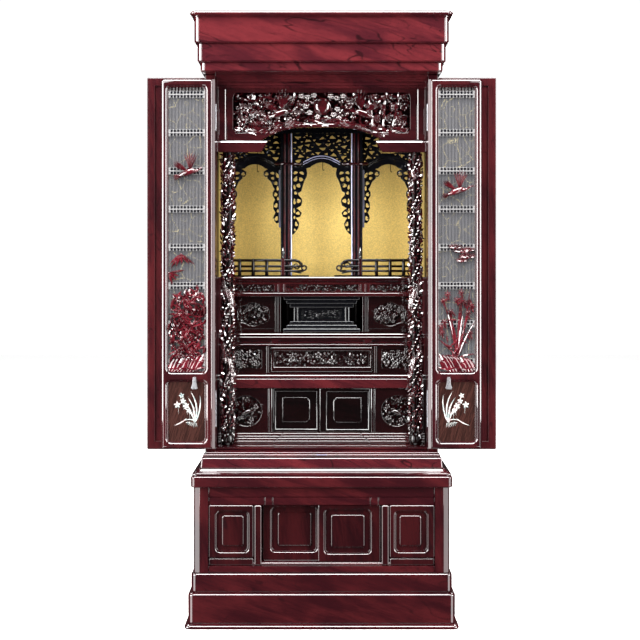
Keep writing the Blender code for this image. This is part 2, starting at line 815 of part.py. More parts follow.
def make_nageshi():
    """Short mitred mouldings under both ends of the transom."""
    front = TRANSOM_FRONT - NAGESHI_OUT
    for side, word in ((-1, "left"), (1, "right")):
        outer = INNER - GAP
        inner = outer - NAGESHI_L
        outline = [
            (side * outer, NAGESHI_Z), (side * outer, NAGESHI_TOP),
            (side * inner, NAGESHI_TOP), (side * (inner + MITRE), NAGESHI_Z),
        ]
        piece(f"nageshi_{word}", prism("y", front, front + NAGESHI_T, outline), rosewood())


def around_pillar(side, share, reach, angle):
    """A point near the pillar's surface, from its foot at share 0 to its head at share 1."""
    foot = FLOOR_TOP + GAP + FOOT_H
    run = NAGESHI_Z - GAP - foot
    turned = side * angle
    return (
        side * PILLAR_X + reach * math.sin(turned),
        PILLAR_Y - reach * math.cos(turned),
        foot + run * (0.05 + 0.88 * share),
    )


def make_pillars():
    """Round pillars with a dragon winding up them between clouds."""
    low, high = FLOOR_TOP + GAP, NAGESHI_Z - GAP
    profile = [
        (0.0, low), (FOOT_R * 0.7, low), (FOOT_R, low + FOOT_H * 0.4), (FOOT_R * 0.8, low + FOOT_H * 0.9),
        (PILLAR_R, low + FOOT_H * 1.1), (PILLAR_R, high), (0.0, high),
    ]
    winding = 2 * math.pi * DRAGON_TURNS
    count = round(DRAGON_TURNS * 6)
    shares = [i / count for i in range(count + 1)]
    for side, word in ((-1, "left"), (1, "right")):
        shaft = lathe(profile, (side * PILLAR_X, PILLAR_Y, 0.0), 10)
        coil = [
            around_pillar(side, share, PILLAR_R * (0.92 + 0.06 * math.sin(11 * share)), winding * share)
            for share in shares
        ]
        shapes = [shaft, tube(coil, DRAGON_R)]
        for i in range(DRAGON_CLOUDS):
            share = (i + 0.5) / DRAGON_CLOUDS
            place = around_pillar(side, share, PILLAR_R * 0.95, winding * share + math.pi)
            shapes.append(knob(place, (0.015, 0.015, 0.036), 0.4 * side, True))
        piece(f"pillar_{word}", heap(shapes), rosewood(), smooth=True)


# Shrine

SCREEN_FRONT = POST_Y + POST_D / 2 + GAP
SHRINE_FLOOR = SHRINE_Z + GAP
SHRINE_TOP = CABINET_TOP - CEILING_T - GAP
BEAM_Z = SHRINE_TOP + GAP - BEAM_DROP - BEAM_H
ARCH_TOP = BEAM_Z - ARCH_DROP
ARCH_Z = ARCH_TOP - ARCH_RISE


def bracket_edge(x0, x1, bottom, steps=5):
    """The scalloped edge of a hanging bracket, from its wide top at x1 to its foot at x0."""
    points = []
    for i in range(steps + 1):
        t = i / steps
        width = (x1 - x0) * (1 - t) ** 0.75 * (1 + 0.16 * math.cos(4 * math.pi * t))
        points.append((x0 + width, ARCH_Z + (bottom - ARCH_Z) * t))
    return points


def bay_arch(x0, x1, steps=4):
    """A lobed arch between two brackets."""
    shares = [i / steps for i in range(1, steps)]
    return [
        (x0 + (x1 - x0) * t, ARCH_Z + ARCH_RISE * math.sin(math.pi * t) ** 0.7) for t in shares
    ]


def screen_outline(inner, outer, wall):
    """The screen's outline, from the beam of the middle bay out to both walls."""
    low_c, low_s = ARCH_Z - BRACKET_CENTRE, ARCH_Z - BRACKET_SIDE
    reach = inner - BRACKET_CENTRE_W
    half = [(0.0, ARCH_TOP)]
    half += [p for p in bay_arch(-reach, reach) if p[0] > PLAY]
    half += bracket_edge(inner, reach, low_c)
    half += [(outer, low_c + RIM)]
    half += bracket_edge(outer, outer + BRACKET_SIDE_W, low_s)[::-1]
    half += bay_arch(outer + BRACKET_SIDE_W, wall - BRACKET_SIDE_W)
    half += bracket_edge(wall, wall - BRACKET_SIDE_W, low_s)
    return half + [(wall, SHRINE_TOP), (-wall, SHRINE_TOP)] + [(-x, z) for x, z in half[:0:-1]]


def make_screen():
    """The fretwork screen over three bays, with brackets hanging beside the posts."""
    inner, outer, wall = POST_X - POST_W / 2, POST_X + POST_W / 2, LINING - GAP
    holes = []
    middle_x = (outer + wall) / 2
    for middle, width in ((-middle_x, wall - outer), (0.0, 2 * inner), (middle_x, wall - outer)):
        for i in (-1, 0, 1):
            place = (middle + i * width * 0.30, ARCH_TOP + FRIEZE_RISE)
            holes.append(oval(*place, width * 0.11, 0.012, 6))
    for side in (-1, 1):
        for x in (inner - 0.012, outer + 0.016, wall - 0.016):
            for drop in (0.030, 0.075):
                holes.append(oval(side * x, ARCH_Z - drop, 0.005, 0.013, 4))
    outline = screen_outline(inner, outer, wall)
    screen = prism("y", SCREEN_FRONT, SCREEN_FRONT + SCREEN_T, outline, *holes)
    piece("shrine_screen", screen, black_lacquer())


def make_shrine_frame():
    front, back = POST_Y - POST_D / 2, POST_Y + POST_D / 2
    for side, word in ((-1, "left"), (1, "right")):
        x = side * POST_X
        post = block(
            (x - POST_W / 2, front, SHRINE_FLOOR), (x + POST_W / 2, back, BEAM_Z - GAP)
        )
        piece(f"shrine_post_{word}", post, black_lacquer())
    reach = LINING - GAP
    beam = block((-reach, front - RIM, BEAM_Z), (reach, back, BEAM_Z + BEAM_H))
    piece("shrine_beam", beam, black_lacquer())


def make_gold_walls():
    reach, front = INNER - GAP, WALL - GAP - GOLD_T
    wall = block((-reach, front, SHRINE_FLOOR), (reach, WALL - GAP, SHRINE_TOP))
    piece("gold_back", wall, gold_leaf())
    for side, word in ((-1, "left"), (1, "right")):
        lining = block(
            (side * LINING, LINING_FRONT, SHRINE_FLOOR), (side * reach, front - GAP, SHRINE_TOP)
        )
        piece(f"gold_side_{word}", lining, gold_leaf())


def railing_fence(side, outer):
    """Three rails with posts between them, as one pierced board."""
    floor = SHRINE_FLOOR
    first = NEWEL_X + RAILING_FIRST
    pitch = (outer - first) / RAILING_POSTS
    bars = [NEWEL_X] + [first + pitch * i for i in range(RAILING_POSTS + 1)]
    holes = [
        rectangle(
            side * (x0 + RAIL / 2), side * (x1 - RAIL / 2), floor + low + RAIL / 2, floor + high - RAIL / 2
        )
        for x0, x1 in zip(bars, bars[1:])
        for low, high in zip(RAIL_HEIGHTS, RAIL_HEIGHTS[1:])
    ]
    top = floor + RAIL_HEIGHTS[-1] + RAIL / 2
    outline = rectangle(side * NEWEL_X, side * outer, floor + LEDGE_H / 2, top)
    return prism("y", RAILING_Y - RAILING_T / 2, RAILING_Y + RAILING_T / 2, outline, *holes)


def railing_scroll(side):
    """The end of the lowest rail, which runs on past the newel and curls into a ring."""
    low = SHRINE_FLOOR + RAIL_HEIGHTS[0]
    ring_x, ring_z = NEWEL_X - SCROLL_IN, low + SCROLL_RISE
    outline = [(side * NEWEL_X, low - RAIL / 2)]
    for i in range(7):
        angle = math.radians(-90 - 250 * i / 6)
        outline.append((
            side * (ring_x + SCROLL_R * math.cos(angle)), ring_z + SCROLL_R * math.sin(angle)
        ))
    outline.append((side * NEWEL_X, low + RAIL / 2))
    half = RAILING_T / 2 - RAIL / 6
    return prism("y", RAILING_Y - half, RAILING_Y + half, outline)


def make_railings():
    """Low railings before the side bays, with a newel and a scrolled end towards the middle."""
    outer = LINING - PLAY
    front, back = RAILING_Y - RAILING_D / 2, RAILING_Y + RAILING_D / 2
    shares = ((0.0, 0.04), (0.62, 0.04), (0.62, 0.66), (1.0, 0.76), (0.5, 0.84), (0.8, 0.92), (0.0, 1.0))
    newel = [(NEWEL_R * r, NEWEL_H * z) for r, z in shares]
    for side, word in ((-1, "left"), (1, "right")):
        ends = (side * RAILING_END, side * outer)
        ledge = block((ends[0], front, SHRINE_FLOOR), (ends[1], back, SHRINE_FLOOR + LEDGE_H))
        post = lathe(newel, (side * NEWEL_X, RAILING_Y, SHRINE_FLOOR), 6)
        shapes = [railing_fence(side, outer), ledge, post, railing_scroll(side)]
        piece(f"railing_{word}", join(shapes), black_lacquer())


# Tiers

def shelf(name, front, z0, height, lip):
    """A shelf board with a deeper moulded front edge."""
    z1 = z0 + height
    outline = [
        (front, z0),
        (front, z1 - lip - NOSE),
        (front + NOSE, z1 - lip),
        (front - NOSE / 2, z1 - lip + NOSE / 2),
        (front - NOSE / 2, z1),
        (WALL - GAP, z1),
        (WALL - GAP, z1 - SHELF_T),
        (front + FASCIA, z1 - SHELF_T),
        (front + FASCIA, z0),
    ]
    reach = INNER - GAP
    piece(name, prism("x", -reach, reach, outline), rosewood())


def make_shelves():
    shelf("shelf_3", SHELF_3_FRONT, SHELF_3_Z, SHELF_3_H, 0.007)
    shelf("shelf_2", SHELF_2_FRONT, SHELF_2_Z, SHELF_2_H, 0.005)
    shelf("shelf_1", SHELF_1_FRONT, SHELF_1_Z, SHELF_1_H, 0.004)


def make_low_rails():
    z0, z1 = RAILS_Z, RAILS_Z + RAILS_H
    front, back = RAILS_FRONT, RAILS_FRONT + RAILS_D
    quarter = RAILS_H / 4
    outline = [
        (front, z0),
        (front, z0 + quarter),
        (front + RAILS_STEP, z0 + quarter + GROOVE),
        (front + RAILS_STEP, z0 + 2 * quarter),
        (front + 2 * RAILS_STEP, z0 + 2 * quarter + GROOVE),
        (front + 2 * RAILS_STEP, z1),
        (back, z1),
        (back, z0),
    ]
    reach = INNER - GAP
    piece("low_rails", prism("x", -reach, reach, outline), rosewood())


def carved_board(x0, x1, z0, z1, front, opening, relief):
    """A board with a sunk opening, its ground left behind, and carving in it."""
    board = block((x0, front, z0), (x1, front + TIER_T, z1))
    cutter = prism("y", front - RIM, front + TIER_T * CARVE_SHARE, opening)
    body = join([board, cutter], "DIFFERENCE")
    return heap([body] + relief)


def spray(x, y, z, half_x, half_z, count):
    """A round spray of leaves about a flower."""
    shapes = [knob((x, y, z), (0.44 * half_x, 0.016, 0.44 * half_x), 0.4, True)]
    for i in range(count):
        angle = 2 * math.pi * (i + 0.25) / count
        place = (x + 0.52 * half_x * math.cos(angle), y, z + 0.52 * half_z * math.sin(angle))
        shapes.append(knob(place, (0.80 * half_x, 0.014, 0.40 * half_z), -angle, True))
    return shapes


def make_tier_4():
    """Boards with round carvings, and two small sliding doors between them."""
    z0, z1 = TIER_4_Z, TIER_4_Z + TIER_4_H
    centre_x = (NEKODO_X + INNER) / 2 - ROUND_IN
    z = (z0 + z1) / 2
    for side, word in ((-1, "left"), (1, "right")):
        x = side * centre_x
        opening = oval(x, z, ROUND_R, ROUND_R)
        relief = spray(x, TIER_4_FRONT + TIER_T * 0.6, z, ROUND_R, ROUND_R, 5)
        ends = (side * (NEKODO_X + PLAY), side * (INNER - GAP))
        shape = carved_board(*ends, z0, z1, TIER_4_FRONT, opening, relief)
        piece(f"tier_4_{word}", shape, rosewood())
    low, high = z0 + PLAY / 2, z1 - PLAY / 2
    front = TIER_4_FRONT + NEKODO_SET
    for side, word, y in ((-1, "left", front + NEKODO_T + PLAY), (1, "right", front)):
        ends = sorted((side * (NEKODO_X - PLAY / 2), -side * NEKODO_LAP))
        pivot = pivot_at(f"slide of small door {word}", ((ends[0] + ends[1]) / 2, y, low))
        door = panelled(
            (ends[0], y, low), (ends[1], y + NEKODO_T, high),
            [(0.009, 0.0), (0.002, 0.0030), (0.011, 0.0), (0.006, -0.0022)],
        )
        piece(f"small_door_{word}", door, rosewood(), pivot)


def make_tier_3():
    """A fretted board with a framed carving in the middle and one at each side."""
    z0, z1 = TIER_3_Z, TIER_3_Z + TIER_3_H
    reach, front = INNER - GAP, TIER_3_FRONT
    low, high = z0 + 0.014, z1 - 0.010
    z = (low + high) / 2
    inner, outer = CENTRE_HALF + SIDE_SUNK_IN, INNER - SIDE_SUNK_OUT
    cuts = [rounded(side * inner, side * outer, low, high, 0.010, 2) for side in (-1, 1)]
    cuts.append(rectangle(-CENTRE_SUNK, CENTRE_SUNK, low + 0.004, high - 0.004))
    cutters = [prism("y", front - RIM, front + TIER_T * CARVE_SHARE, cut) for cut in cuts]
    board = block((-reach, front, z0), (reach, front + TIER_T, z1))
    body = join([board] + cutters, "DIFFERENCE")
    relief = []
    for side in (-1, 1):
        relief += spray(side * (inner + outer) / 2, front + TIER_T * 0.6, z, 0.040, 0.026, 4)
    for i in range(4):
        place = (0.062 * (i - 1.5), front + TIER_T * 0.6, z)
        relief.append(knob(place, (0.048, 0.014, 0.026), 0.5 - i % 2, True))
    hole = CENTRE_HALF - CENTRE_FRAME_W
    frame = prism(
        "y", front - 0.005, front + 0.006,
        rectangle(-CENTRE_HALF, CENTRE_HALF, low - 0.004, high + 0.004),
        rectangle(-hole, hole, low + 0.006, high - 0.006),
    )
    piece("tier_3_front", heap([body, frame] + relief), rosewood())


def make_tier_2():
    """Boards with a lobed oval carving beside the black platform."""
    z0, z1 = TIER_2_Z, TIER_2_Z + TIER_2_H
    centre_x = (RELIEF_X + INNER) / 2 - RELIEF_IN
    z = (z0 + z1) / 2
    for side, word in ((-1, "left"), (1, "right")):
        x = side * centre_x
        opening = oval(x, z, *RELIEF_HALF, 12, 4, 0.10)
        relief = spray(x, TIER_2_FRONT + TIER_T * 0.6, z, 0.046, 0.026, 4)
        ends = (side * RELIEF_X, side * (INNER - GAP))
        shape = carved_board(*ends, z0, z1, TIER_2_FRONT, opening, relief)
        piece(f"tier_2_{word}", shape, rosewood())


def make_dais():
    """The black stepped platform between the relief boards, carved round its waist."""
    front = TIER_2_FRONT + DAIS_SET
    steps = ((0.0, 0.10, 0), (0.10, 0.20, 1), (0.20, 0.30, 2), (0.30, 0.68, 3))
    steps += ((0.68, 0.79, 2), (0.79, 0.90, 1), (0.90, 1.0, 0.2))
    levels = []
    for start, end, count in steps:
        inset = count * DAIS_STEP
        for share in (start + GROOVE / TIER_2_H, end):
            levels.append((DAIS_HALF - inset, front + inset, TIER_2_Z + share * TIER_2_H))
    body = stepped(levels, front + DAIS_D)
    waist = (front + 3 * DAIS_STEP, TIER_2_Z + 0.49 * TIER_2_H)
    relief = []
    for i in range(5):
        place = ((i - 2) * 0.030, *waist)
        relief.append(knob(place, (0.026, 0.008, 0.022), 0.4 * (i % 2), True))
    piece("dais", heap([body] + relief), black_lacquer())


def make_band():
    """The narrow carved band under the shrine floor, on its moulding."""
    z0, z1 = BAND_Z, BAND_Z + BAND_H
    reach = INNER - GAP
    body = block((-reach, BAND_FRONT, z0), (reach, BAND_FRONT + TIER_T, z1))
    moulding = block(
        (-reach, BAND_FRONT - MOULD_OUT, z0 + GROOVE / 2), (reach, BAND_FRONT + MOULD_OUT, z0 + MOULD_H)
    )
    middle = z0 + MOULD_H + (BAND_H - MOULD_H) / 2
    low, high = middle - BAND_SUNK, middle + BAND_SUNK
    outer, inner = INNER - 0.042, POST_X + 0.033
    spans = ((-outer, -inner), (-POST_X, POST_X), (inner, outer))
    cutters = [
        prism("y", BAND_FRONT - RIM, BAND_FRONT + TIER_T * CARVE_SHARE, rectangle(a, b, low, high))
        for a, b in spans
    ]
    body = join([body] + cutters, "DIFFERENCE")
    relief = [moulding]
    for a, b in spans:
        count = round((b - a) / 0.065)
        for i in range(count):
            place = (a + (b - a) * (i + 0.5) / count, BAND_FRONT + TIER_T * 0.55, middle)
            relief.append(knob(place, (0.042, 0.012, 0.012), 0.3, True))
    piece("carved_band", heap([body] + relief), rosewood())


TRAY_Z = SILL_TOP + 1.5 * PLAY
TRAY_FRONT = FRONT - 0.037
TRAY_HALF = HALF - 0.004
TRAY_D = 0.400
TRAY_LIP = 0.006  # how far the lower part of the front strip stands out
PULL_HALF = 0.014
PULL_OUT = 0.009


def make_tray():
    """The pull-out board between the sill and the floor, with a moulded front strip."""
    pivot = pivot_at("slide of tray", (0.0, TRAY_FRONT, TRAY_Z))
    strip_back = FRONT - 2 * PLAY
    reach = INNER - 2 * PLAY
    board = block(
        (-reach, strip_back - RIM, TRAY_Z + PLAY), (reach, TRAY_FRONT + TRAY_D, TRAY_Z + TRAY_T - 2 * PLAY)
    )
    low = (TRAY_HALF + TRAY_LIP, TRAY_FRONT - TRAY_LIP)
    high = (TRAY_HALF, TRAY_FRONT)
    strip = stepped(
        [
            (*low, TRAY_Z),
            (*low, TRAY_Z + TRAY_T * 0.6),
            (*high, TRAY_Z + TRAY_T * 0.75),
            (*high, TRAY_Z + TRAY_T),
        ],
        strip_back,
    )
    pull = block(
        (-PULL_HALF, TRAY_FRONT - PULL_OUT, TRAY_Z + TRAY_T * 0.4),
        (PULL_HALF, TRAY_FRONT + PLAY, TRAY_Z + TRAY_T * 0.7),
    )
    piece("tray", join([strip, board, pull]), rosewood(), pivot)


# Doors

OUTER_W = (HALF - PLAY) / 2 - PLAY / 2
LATTICE_W = (INNER - 3 * PLAY / 2) / 2 - PLAY / 4
LATTICE_HINGE_X = INNER - 1.5 * PLAY
LATTICE_HINGE_Y = FRONT + 1.5 * PLAY
BOARD_T = 0.004  # gauze and lower board, as one thin board in the frame
BOARD_SET = 0.003  # how far it is let into the frame
PULL_IN = 0.0575  # middle of the pull from the leaf's meeting edge
PULL_R = (0.0100, 0.0190)
PULL_T = 0.0012


def outer_leaf(side, far, near, front):
    """A plain framed leaf with a sunk panel on both faces."""
    ends = sorted((side * far, side * near))
    return panelled(
        (ends[0], front, OUTER_FOOT), (ends[1], front + OUTER_T, OUTER_HEAD),
        [(OUTER_STILE, 0.0), (0.002, 0.005)], back=True,
    )


def lattice_leaf(side, far, near, front, hinge_far, carved):
    """A leaf with a lattice above and a board below; far is its edge away from the cabinet."""
    foot, head = LATTICE_FOOT, LATTICE_HEAD
    stiles = (LEAF_STILE_HINGE, LEAF_STILE_MEET) if hinge_far else (LEAF_STILE_MEET, LEAF_STILE_HINGE)
    x0, x1 = far - stiles[0], near + stiles[1]
    panel_low, panel_high = foot + LEAF_RAIL_LOW, foot + LEAF_PANEL_TOP
    grid_low, grid_high = panel_high + LEAF_MID_RAIL, head - LEAF_RAIL_TOP
    outline = rectangle(side * far, side * near, foot, head)
    holes = [
        rounded(side * x0, side * x1, grid_low, grid_high, LEAF_RADIUS, 2),
        rounded(side * x0, side * x1, panel_low, panel_high, LEAF_RADIUS, 2),
    ]
    shapes = [prism("y", front, front + LATTICE_T, outline, *holes)]
    middle = front + LATTICE_T / 2
    low, high = grid_low - BOARD_SET, grid_high + BOARD_SET
    shapes.append(block(
        (side * (x0 + BOARD_SET), middle + PLAY, panel_low - BOARD_SET),
        (side * (x1 - BOARD_SET), middle + PLAY + BOARD_T, high),
    ))
    for i in range(SLATS):
        x = side * (x1 + (x0 - x1) * (i + 1) / (SLATS + 1))
        shapes.append(block(
            (x - SLAT / 2, middle - 0.0025, low), (x + SLAT / 2, middle + 0.003, high)
        ))
    if carved:
        shapes += leaf_carving(side, side * (x0 + x1) / 2, middle - PLAY, grid_low)
    return heap(shapes)


def bush_outline():
    """A flowering bush on a bank, from the foot of the lattice."""
    half, low, rise, lobes = 0.038, 0.070, 0.135, 5
    points = [(-half * 0.9, -0.006), (half * 0.9, -0.006), (half, 0.026)]
    for i in range(2 * lobes + 1):
        angle = math.pi * (0.10 + 0.80 * i / (2 * lobes))
        reach = 0.70 if i % 2 else 1.0
        points.append((half * reach * math.cos(angle), low + rise * reach * math.sin(angle)))
    return points + [(-half, 0.026)]


def foliage_outline(count=12):
    points = []
    for i in range(count):
        angle = 2 * math.pi * i / count
        reach = 1.0 if i % 2 else 0.55
        points.append((0.026 * reach * math.cos(angle), 0.017 * reach * math.sin(angle)))
    return points


def wings_outline():
    """A bird with its wings up, seen from the side."""
    points = [(-0.030, -0.006), (-0.010, -0.011), (0.012, -0.006), (0.024, -0.014), (0.020, 0.004)]
    return points + [(0.010, 0.010), (0.006, 0.026), (-0.006, 0.010), (-0.020, 0.004)]


def leaf_carving(side, x, y, z):
    """A bush at the foot of the lattice, foliage over it and a bird at the top."""
    shapes = []
    for low, points in ((0.0, bush_outline()), (0.306, foliage_outline()), (0.555, wings_outline())):
        outline = [(x + side * u, z + low + v) for u, v in points]
        shapes.append(prism("y", y - 0.004, y + 0.004, outline))
    return shapes


def place_outer_doors(side, word):
    """Two plain leaves folded open on one side."""
    near = HALF + PLAY / 2
    far = near + OUTER_W
    front = FRONT + PLAY / 2
    hinge = pivot_at(f"hinge outer a {word}", (side * HALF, FRONT, 0.0))
    piece(f"outer_door_a_{word}", outer_leaf(side, far, near, front), rosewood(), hinge)
    fold = (side * (far + PLAY / 4), front + OUTER_T + PLAY / 4, 0.0)
    hinge = pivot_at(f"hinge outer b {word}", fold, hinge)
    leaf = outer_leaf(side, far, near, front + OUTER_T + PLAY / 2)
    piece(f"outer_door_b_{word}", leaf, rosewood(), hinge)


def place_lattice_doors(side, word):
    """Two lattice leaves folded open on one side, before the plain ones."""
    near = LATTICE_HINGE_X - PLAY
    far = near + LATTICE_W
    closed_front = FRONT - PLAY / 2 + DOOR_GAP
    front_a = 2 * LATTICE_HINGE_Y - closed_front - LATTICE_T
    front_b = front_a - PLAY - LATTICE_T
    hinge = pivot_at(f"hinge lattice a {word}", (side * LATTICE_HINGE_X, LATTICE_HINGE_Y, 0.0))
    leaf = lattice_leaf(side, far, near, front_a, False, False)
    piece(f"lattice_door_a_{word}", leaf, rosewood(), hinge)
    fold = (side * (far + PLAY / 2), front_a - PLAY / 2, 0.0)
    hinge = pivot_at(f"hinge lattice b {word}", fold, hinge)
    leaf = lattice_leaf(side, far, near, front_b, True, True)
    piece(f"lattice_door_b_{word}", leaf, rosewood(), hinge)
    middle_z = LATTICE_FOOT + LEAF_PANEL_TOP - 0.006
    plate = oval(side * (near + PULL_IN), middle_z, *PULL_R, 10)
    pull = prism("y", front_b - GAP - PULL_T, front_b - GAP, plate)
    piece(f"door_pull_{word}", pull, silver(), hinge)


def main():
    make_plinth()
    make_base_boards()
    make_base_posts()
    make_base_rails()
    make_base_panels()
    make_base_doors()
    make_base_top()
    make_sill()
    make_cabinet_boards()
    make_cornice()
    make_head_rail()
    make_transom()
    make_nageshi()
    make_pillars()
    make_gold_walls()
    make_shrine_frame()
    make_screen()
    make_railings()
    make_shelves()
    make_low_rails()
    make_tier_4()
    make_tier_3()
    make_tier_2()
    make_dais()
    make_band()
    make_tray()
    for side, word in ((-1, "left"), (1, "right")):
        place_outer_doors(side, word)
        place_lattice_doors(side, word)


main()
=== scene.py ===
"""Looks of a rosewood home altar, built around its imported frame. All lengths are in metres."""
import json
import math
import random
from contextlib import contextmanager

import bmesh
import bpy
from bpy.props import FloatProperty, FloatVectorProperty, IntProperty, PointerProperty
from mathutils import Matrix, Vector

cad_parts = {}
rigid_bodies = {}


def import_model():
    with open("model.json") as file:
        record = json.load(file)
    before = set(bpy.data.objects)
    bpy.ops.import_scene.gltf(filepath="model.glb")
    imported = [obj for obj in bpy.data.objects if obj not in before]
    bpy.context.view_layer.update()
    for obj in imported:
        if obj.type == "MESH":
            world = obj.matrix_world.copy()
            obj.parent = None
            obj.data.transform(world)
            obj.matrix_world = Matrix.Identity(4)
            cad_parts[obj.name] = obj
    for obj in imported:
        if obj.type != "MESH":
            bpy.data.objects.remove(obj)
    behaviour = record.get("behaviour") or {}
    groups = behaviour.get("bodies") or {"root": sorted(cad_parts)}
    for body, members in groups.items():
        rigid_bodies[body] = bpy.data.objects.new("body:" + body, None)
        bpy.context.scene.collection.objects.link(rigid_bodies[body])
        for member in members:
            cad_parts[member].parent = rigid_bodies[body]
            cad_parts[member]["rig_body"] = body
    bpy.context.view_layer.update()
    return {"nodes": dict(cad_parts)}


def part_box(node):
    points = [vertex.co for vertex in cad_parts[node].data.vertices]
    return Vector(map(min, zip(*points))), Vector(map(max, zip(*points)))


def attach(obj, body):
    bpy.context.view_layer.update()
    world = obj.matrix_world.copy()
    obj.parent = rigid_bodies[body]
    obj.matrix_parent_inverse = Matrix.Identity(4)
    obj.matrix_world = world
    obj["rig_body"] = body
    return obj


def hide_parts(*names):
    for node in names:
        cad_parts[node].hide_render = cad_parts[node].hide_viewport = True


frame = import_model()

bl_info = {
    "name": "Rosewood home altar",
    "version": (1, 0, 0),
    "blender": (4, 5, 0),
    "location": "View3D > Sidebar > Altar",
    "description": "Builds the visible pieces of a home altar around its frame",
    "category": "Object",
}

SIDES = {-1: "left", 1: "right"}


# Sizes and colours

def length(name, about, value):
    return FloatProperty(name=name, description=about, default=value, unit="LENGTH", min=0.0)


def colour(name, about, value):
    return FloatVectorProperty(name=name, description=about, default=value, subtype="COLOR", size=3,
        min=0.0, max=1.0)


class AltarSizes(bpy.types.PropertyGroup):
    """Sizes that a maker would change."""
    edge: length("Edge", "Radius of an ordinary board edge", 0.0022)
    soft_edge: length("Soft edge", "Radius of a moulded edge", 0.003)
    sight_edge: length("Sight edge", "Radius round a panel opening", 0.0034)
    slat_pitch: length("Slat pitch", "Distance from slat to slat", 0.0094)
    slat_width: length("Slat width", "Width of one lattice slat", 0.0036)
    bar_pitch: length("Bar pitch", "Height from one pair of bars to the next", 0.1082)
    slats: IntProperty(name="Slats", description="Slats in one lattice leaf", default=10, min=2)


class AltarColours(bpy.types.PropertyGroup):
    """Colours of the finishes, as linear light."""
    wood_light: colour("Light wood", "Bright grain of the rosewood", (0.06, 0.0072, 0.0092))
    wood: colour("Wood", "Ground of the rosewood", (0.025, 0.003, 0.005))
    wood_vein: colour("Vein", "Dark veins of the rosewood", (0.005, 0.001, 0.0016))
    carved: colour("Carving", "Carved rosewood", (0.03, 0.0026, 0.0042))
    lacquer: colour("Lacquer", "Black lacquer of the shrine", (0.0018, 0.0018, 0.0026))
    gold: colour("Gold", "Gold leaf", (0.86, 0.62, 0.185))
    gauze: colour("Gauze", "Grey gauze in the lattice doors", (0.05, 0.05, 0.055))
    thread: colour("Thread", "Gold thread in the gauze", (0.15, 0.13, 0.08))
    board: colour("Door board", "Brown board low in the lattice doors", (0.02, 0.007, 0.0055))
    shell: colour("Shell", "Inlay of mother-of-pearl", (0.7, 0.72, 0.72))
    silver: colour("Silver", "Pulls and hinges", (0.42, 0.42, 0.44))
    pale: colour("Pale wood", "Bars and backing of the lattice", (0.16, 0.155, 0.155))


def sizes():
    return bpy.context.scene.altar_sizes


def colours():
    return bpy.context.scene.altar_colours


# Finishes

class Wire:
    """A shader socket whose sums add Math nodes."""

    def __init__(self, finish, socket):
        self.finish = finish
        self.socket = socket

    def sum(self, operation, first, second):
        return self.finish.node("ShaderNodeMath", {"operation": operation}, {0: first, 1: second})

    def __add__(self, other):
        return self.sum("ADD", self, other)

    def __sub__(self, other):
        return self.sum("SUBTRACT", self, other)

    def __rsub__(self, other):
        return self.sum("SUBTRACT", other, self)

    def __mul__(self, other):
        return self.sum("MULTIPLY", self, other)

    def fraction(self):
        return self.sum("FRACT", self, 0.0)

    def size(self):
        return self.sum("ABSOLUTE", self, 0.0)


class Finish:
    """One material, with the Principled shader it starts from."""

    def __init__(self, name, slot, **constants):
        self.slot = slot
        self.material = bpy.data.materials.new(name)
        self.material.use_nodes = True
        self.tree = self.material.node_tree
        self.shader = self.tree.nodes["Principled BSDF"]
        for socket, value in constants.items():
            self.shader.inputs[socket.replace("_", " ")].default_value = value
        self.place = self.node("ShaderNodeTexCoord", out="Object")

    def node(self, kind, settings=None, sockets=None, out=0):
        made = self.tree.nodes.new(kind)
        for name, value in (settings or {}).items():
            if name == "stops":
                self.set_stops(made.color_ramp, value)
            else:
                setattr(made, name, value)
        for name, value in (sockets or {}).items():
            if isinstance(value, Wire):
                self.tree.links.new(value.socket, made.inputs[name])
            else:
                made.inputs[name].default_value = value
        return Wire(self, made.outputs[out])

    @staticmethod
    def set_stops(ramp, stops):
        while len(ramp.elements) < len(stops):
            ramp.elements.new(0.5)
        for element, (at, value) in zip(ramp.elements, stops):
            element.position = at
            element.color = (*value, 1.0)

    def stretched(self, scale, turn=(0.0, 0.0, 0.0)):
        """Object coordinates, turned and then scaled."""
        turned = self.node("ShaderNodeMapping", None, {"Vector": self.place, "Rotation": turn})
        return self.node("ShaderNodeMapping", None, {"Vector": turned, "Scale": scale})

    def noise(self, at, scale=1.0, detail=2.0, roughness=0.5, distortion=0.0):
        return self.node("ShaderNodeTexNoise", None, {"Vector": at, "Scale": scale, "Detail": detail,
                "Roughness": roughness, "Distortion": distortion})

    def mix(self, factor, first, second):
        made = self.tree.nodes.new("ShaderNodeMix")
        made.data_type = "RGBA"
        made.clamp_factor = True
        for index, value in ((0, factor), (6, first), (7, second)):
            if isinstance(value, Wire):
                self.tree.links.new(value.socket, made.inputs[index])
            elif index == 0:
                made.inputs[index].default_value = value
            else:
                made.inputs[index].default_value = (*value, 1.0)
        return Wire(self, made.outputs[2])

    def step(self, value, low, high):
        """0 below low, 1 above high, smooth between."""
        return self.node("ShaderNodeMapRange", {"interpolation_type": "SMOOTHSTEP"},
            {"Value": value, "From Min": low, "From Max": high})

    def to(self, socket, wire):
        self.tree.links.new(wire.socket, self.shader.inputs[socket])

    def bump(self, height, depth):
        self.to("Normal", self.node("ShaderNodeBump", None, {"Strength": 1.0, "Distance": depth,
                "Height": height}, out="Normal"))

    def two_tones(self, mask, paint, low, high):
        """The base colour runs between two tones of one colour."""
        self.to("Base Color", self.mix(mask, toned(paint, low), toned(paint, high)))


def toned(paint, tone):
    """A colour made darker or lighter."""
    return tuple(part * tone for part in paint)


def along(axis, lengthwise, across):
    """A scale that is low along the grain and high across it."""
    return tuple(lengthwise if letter == axis else across for letter in "XYZ")


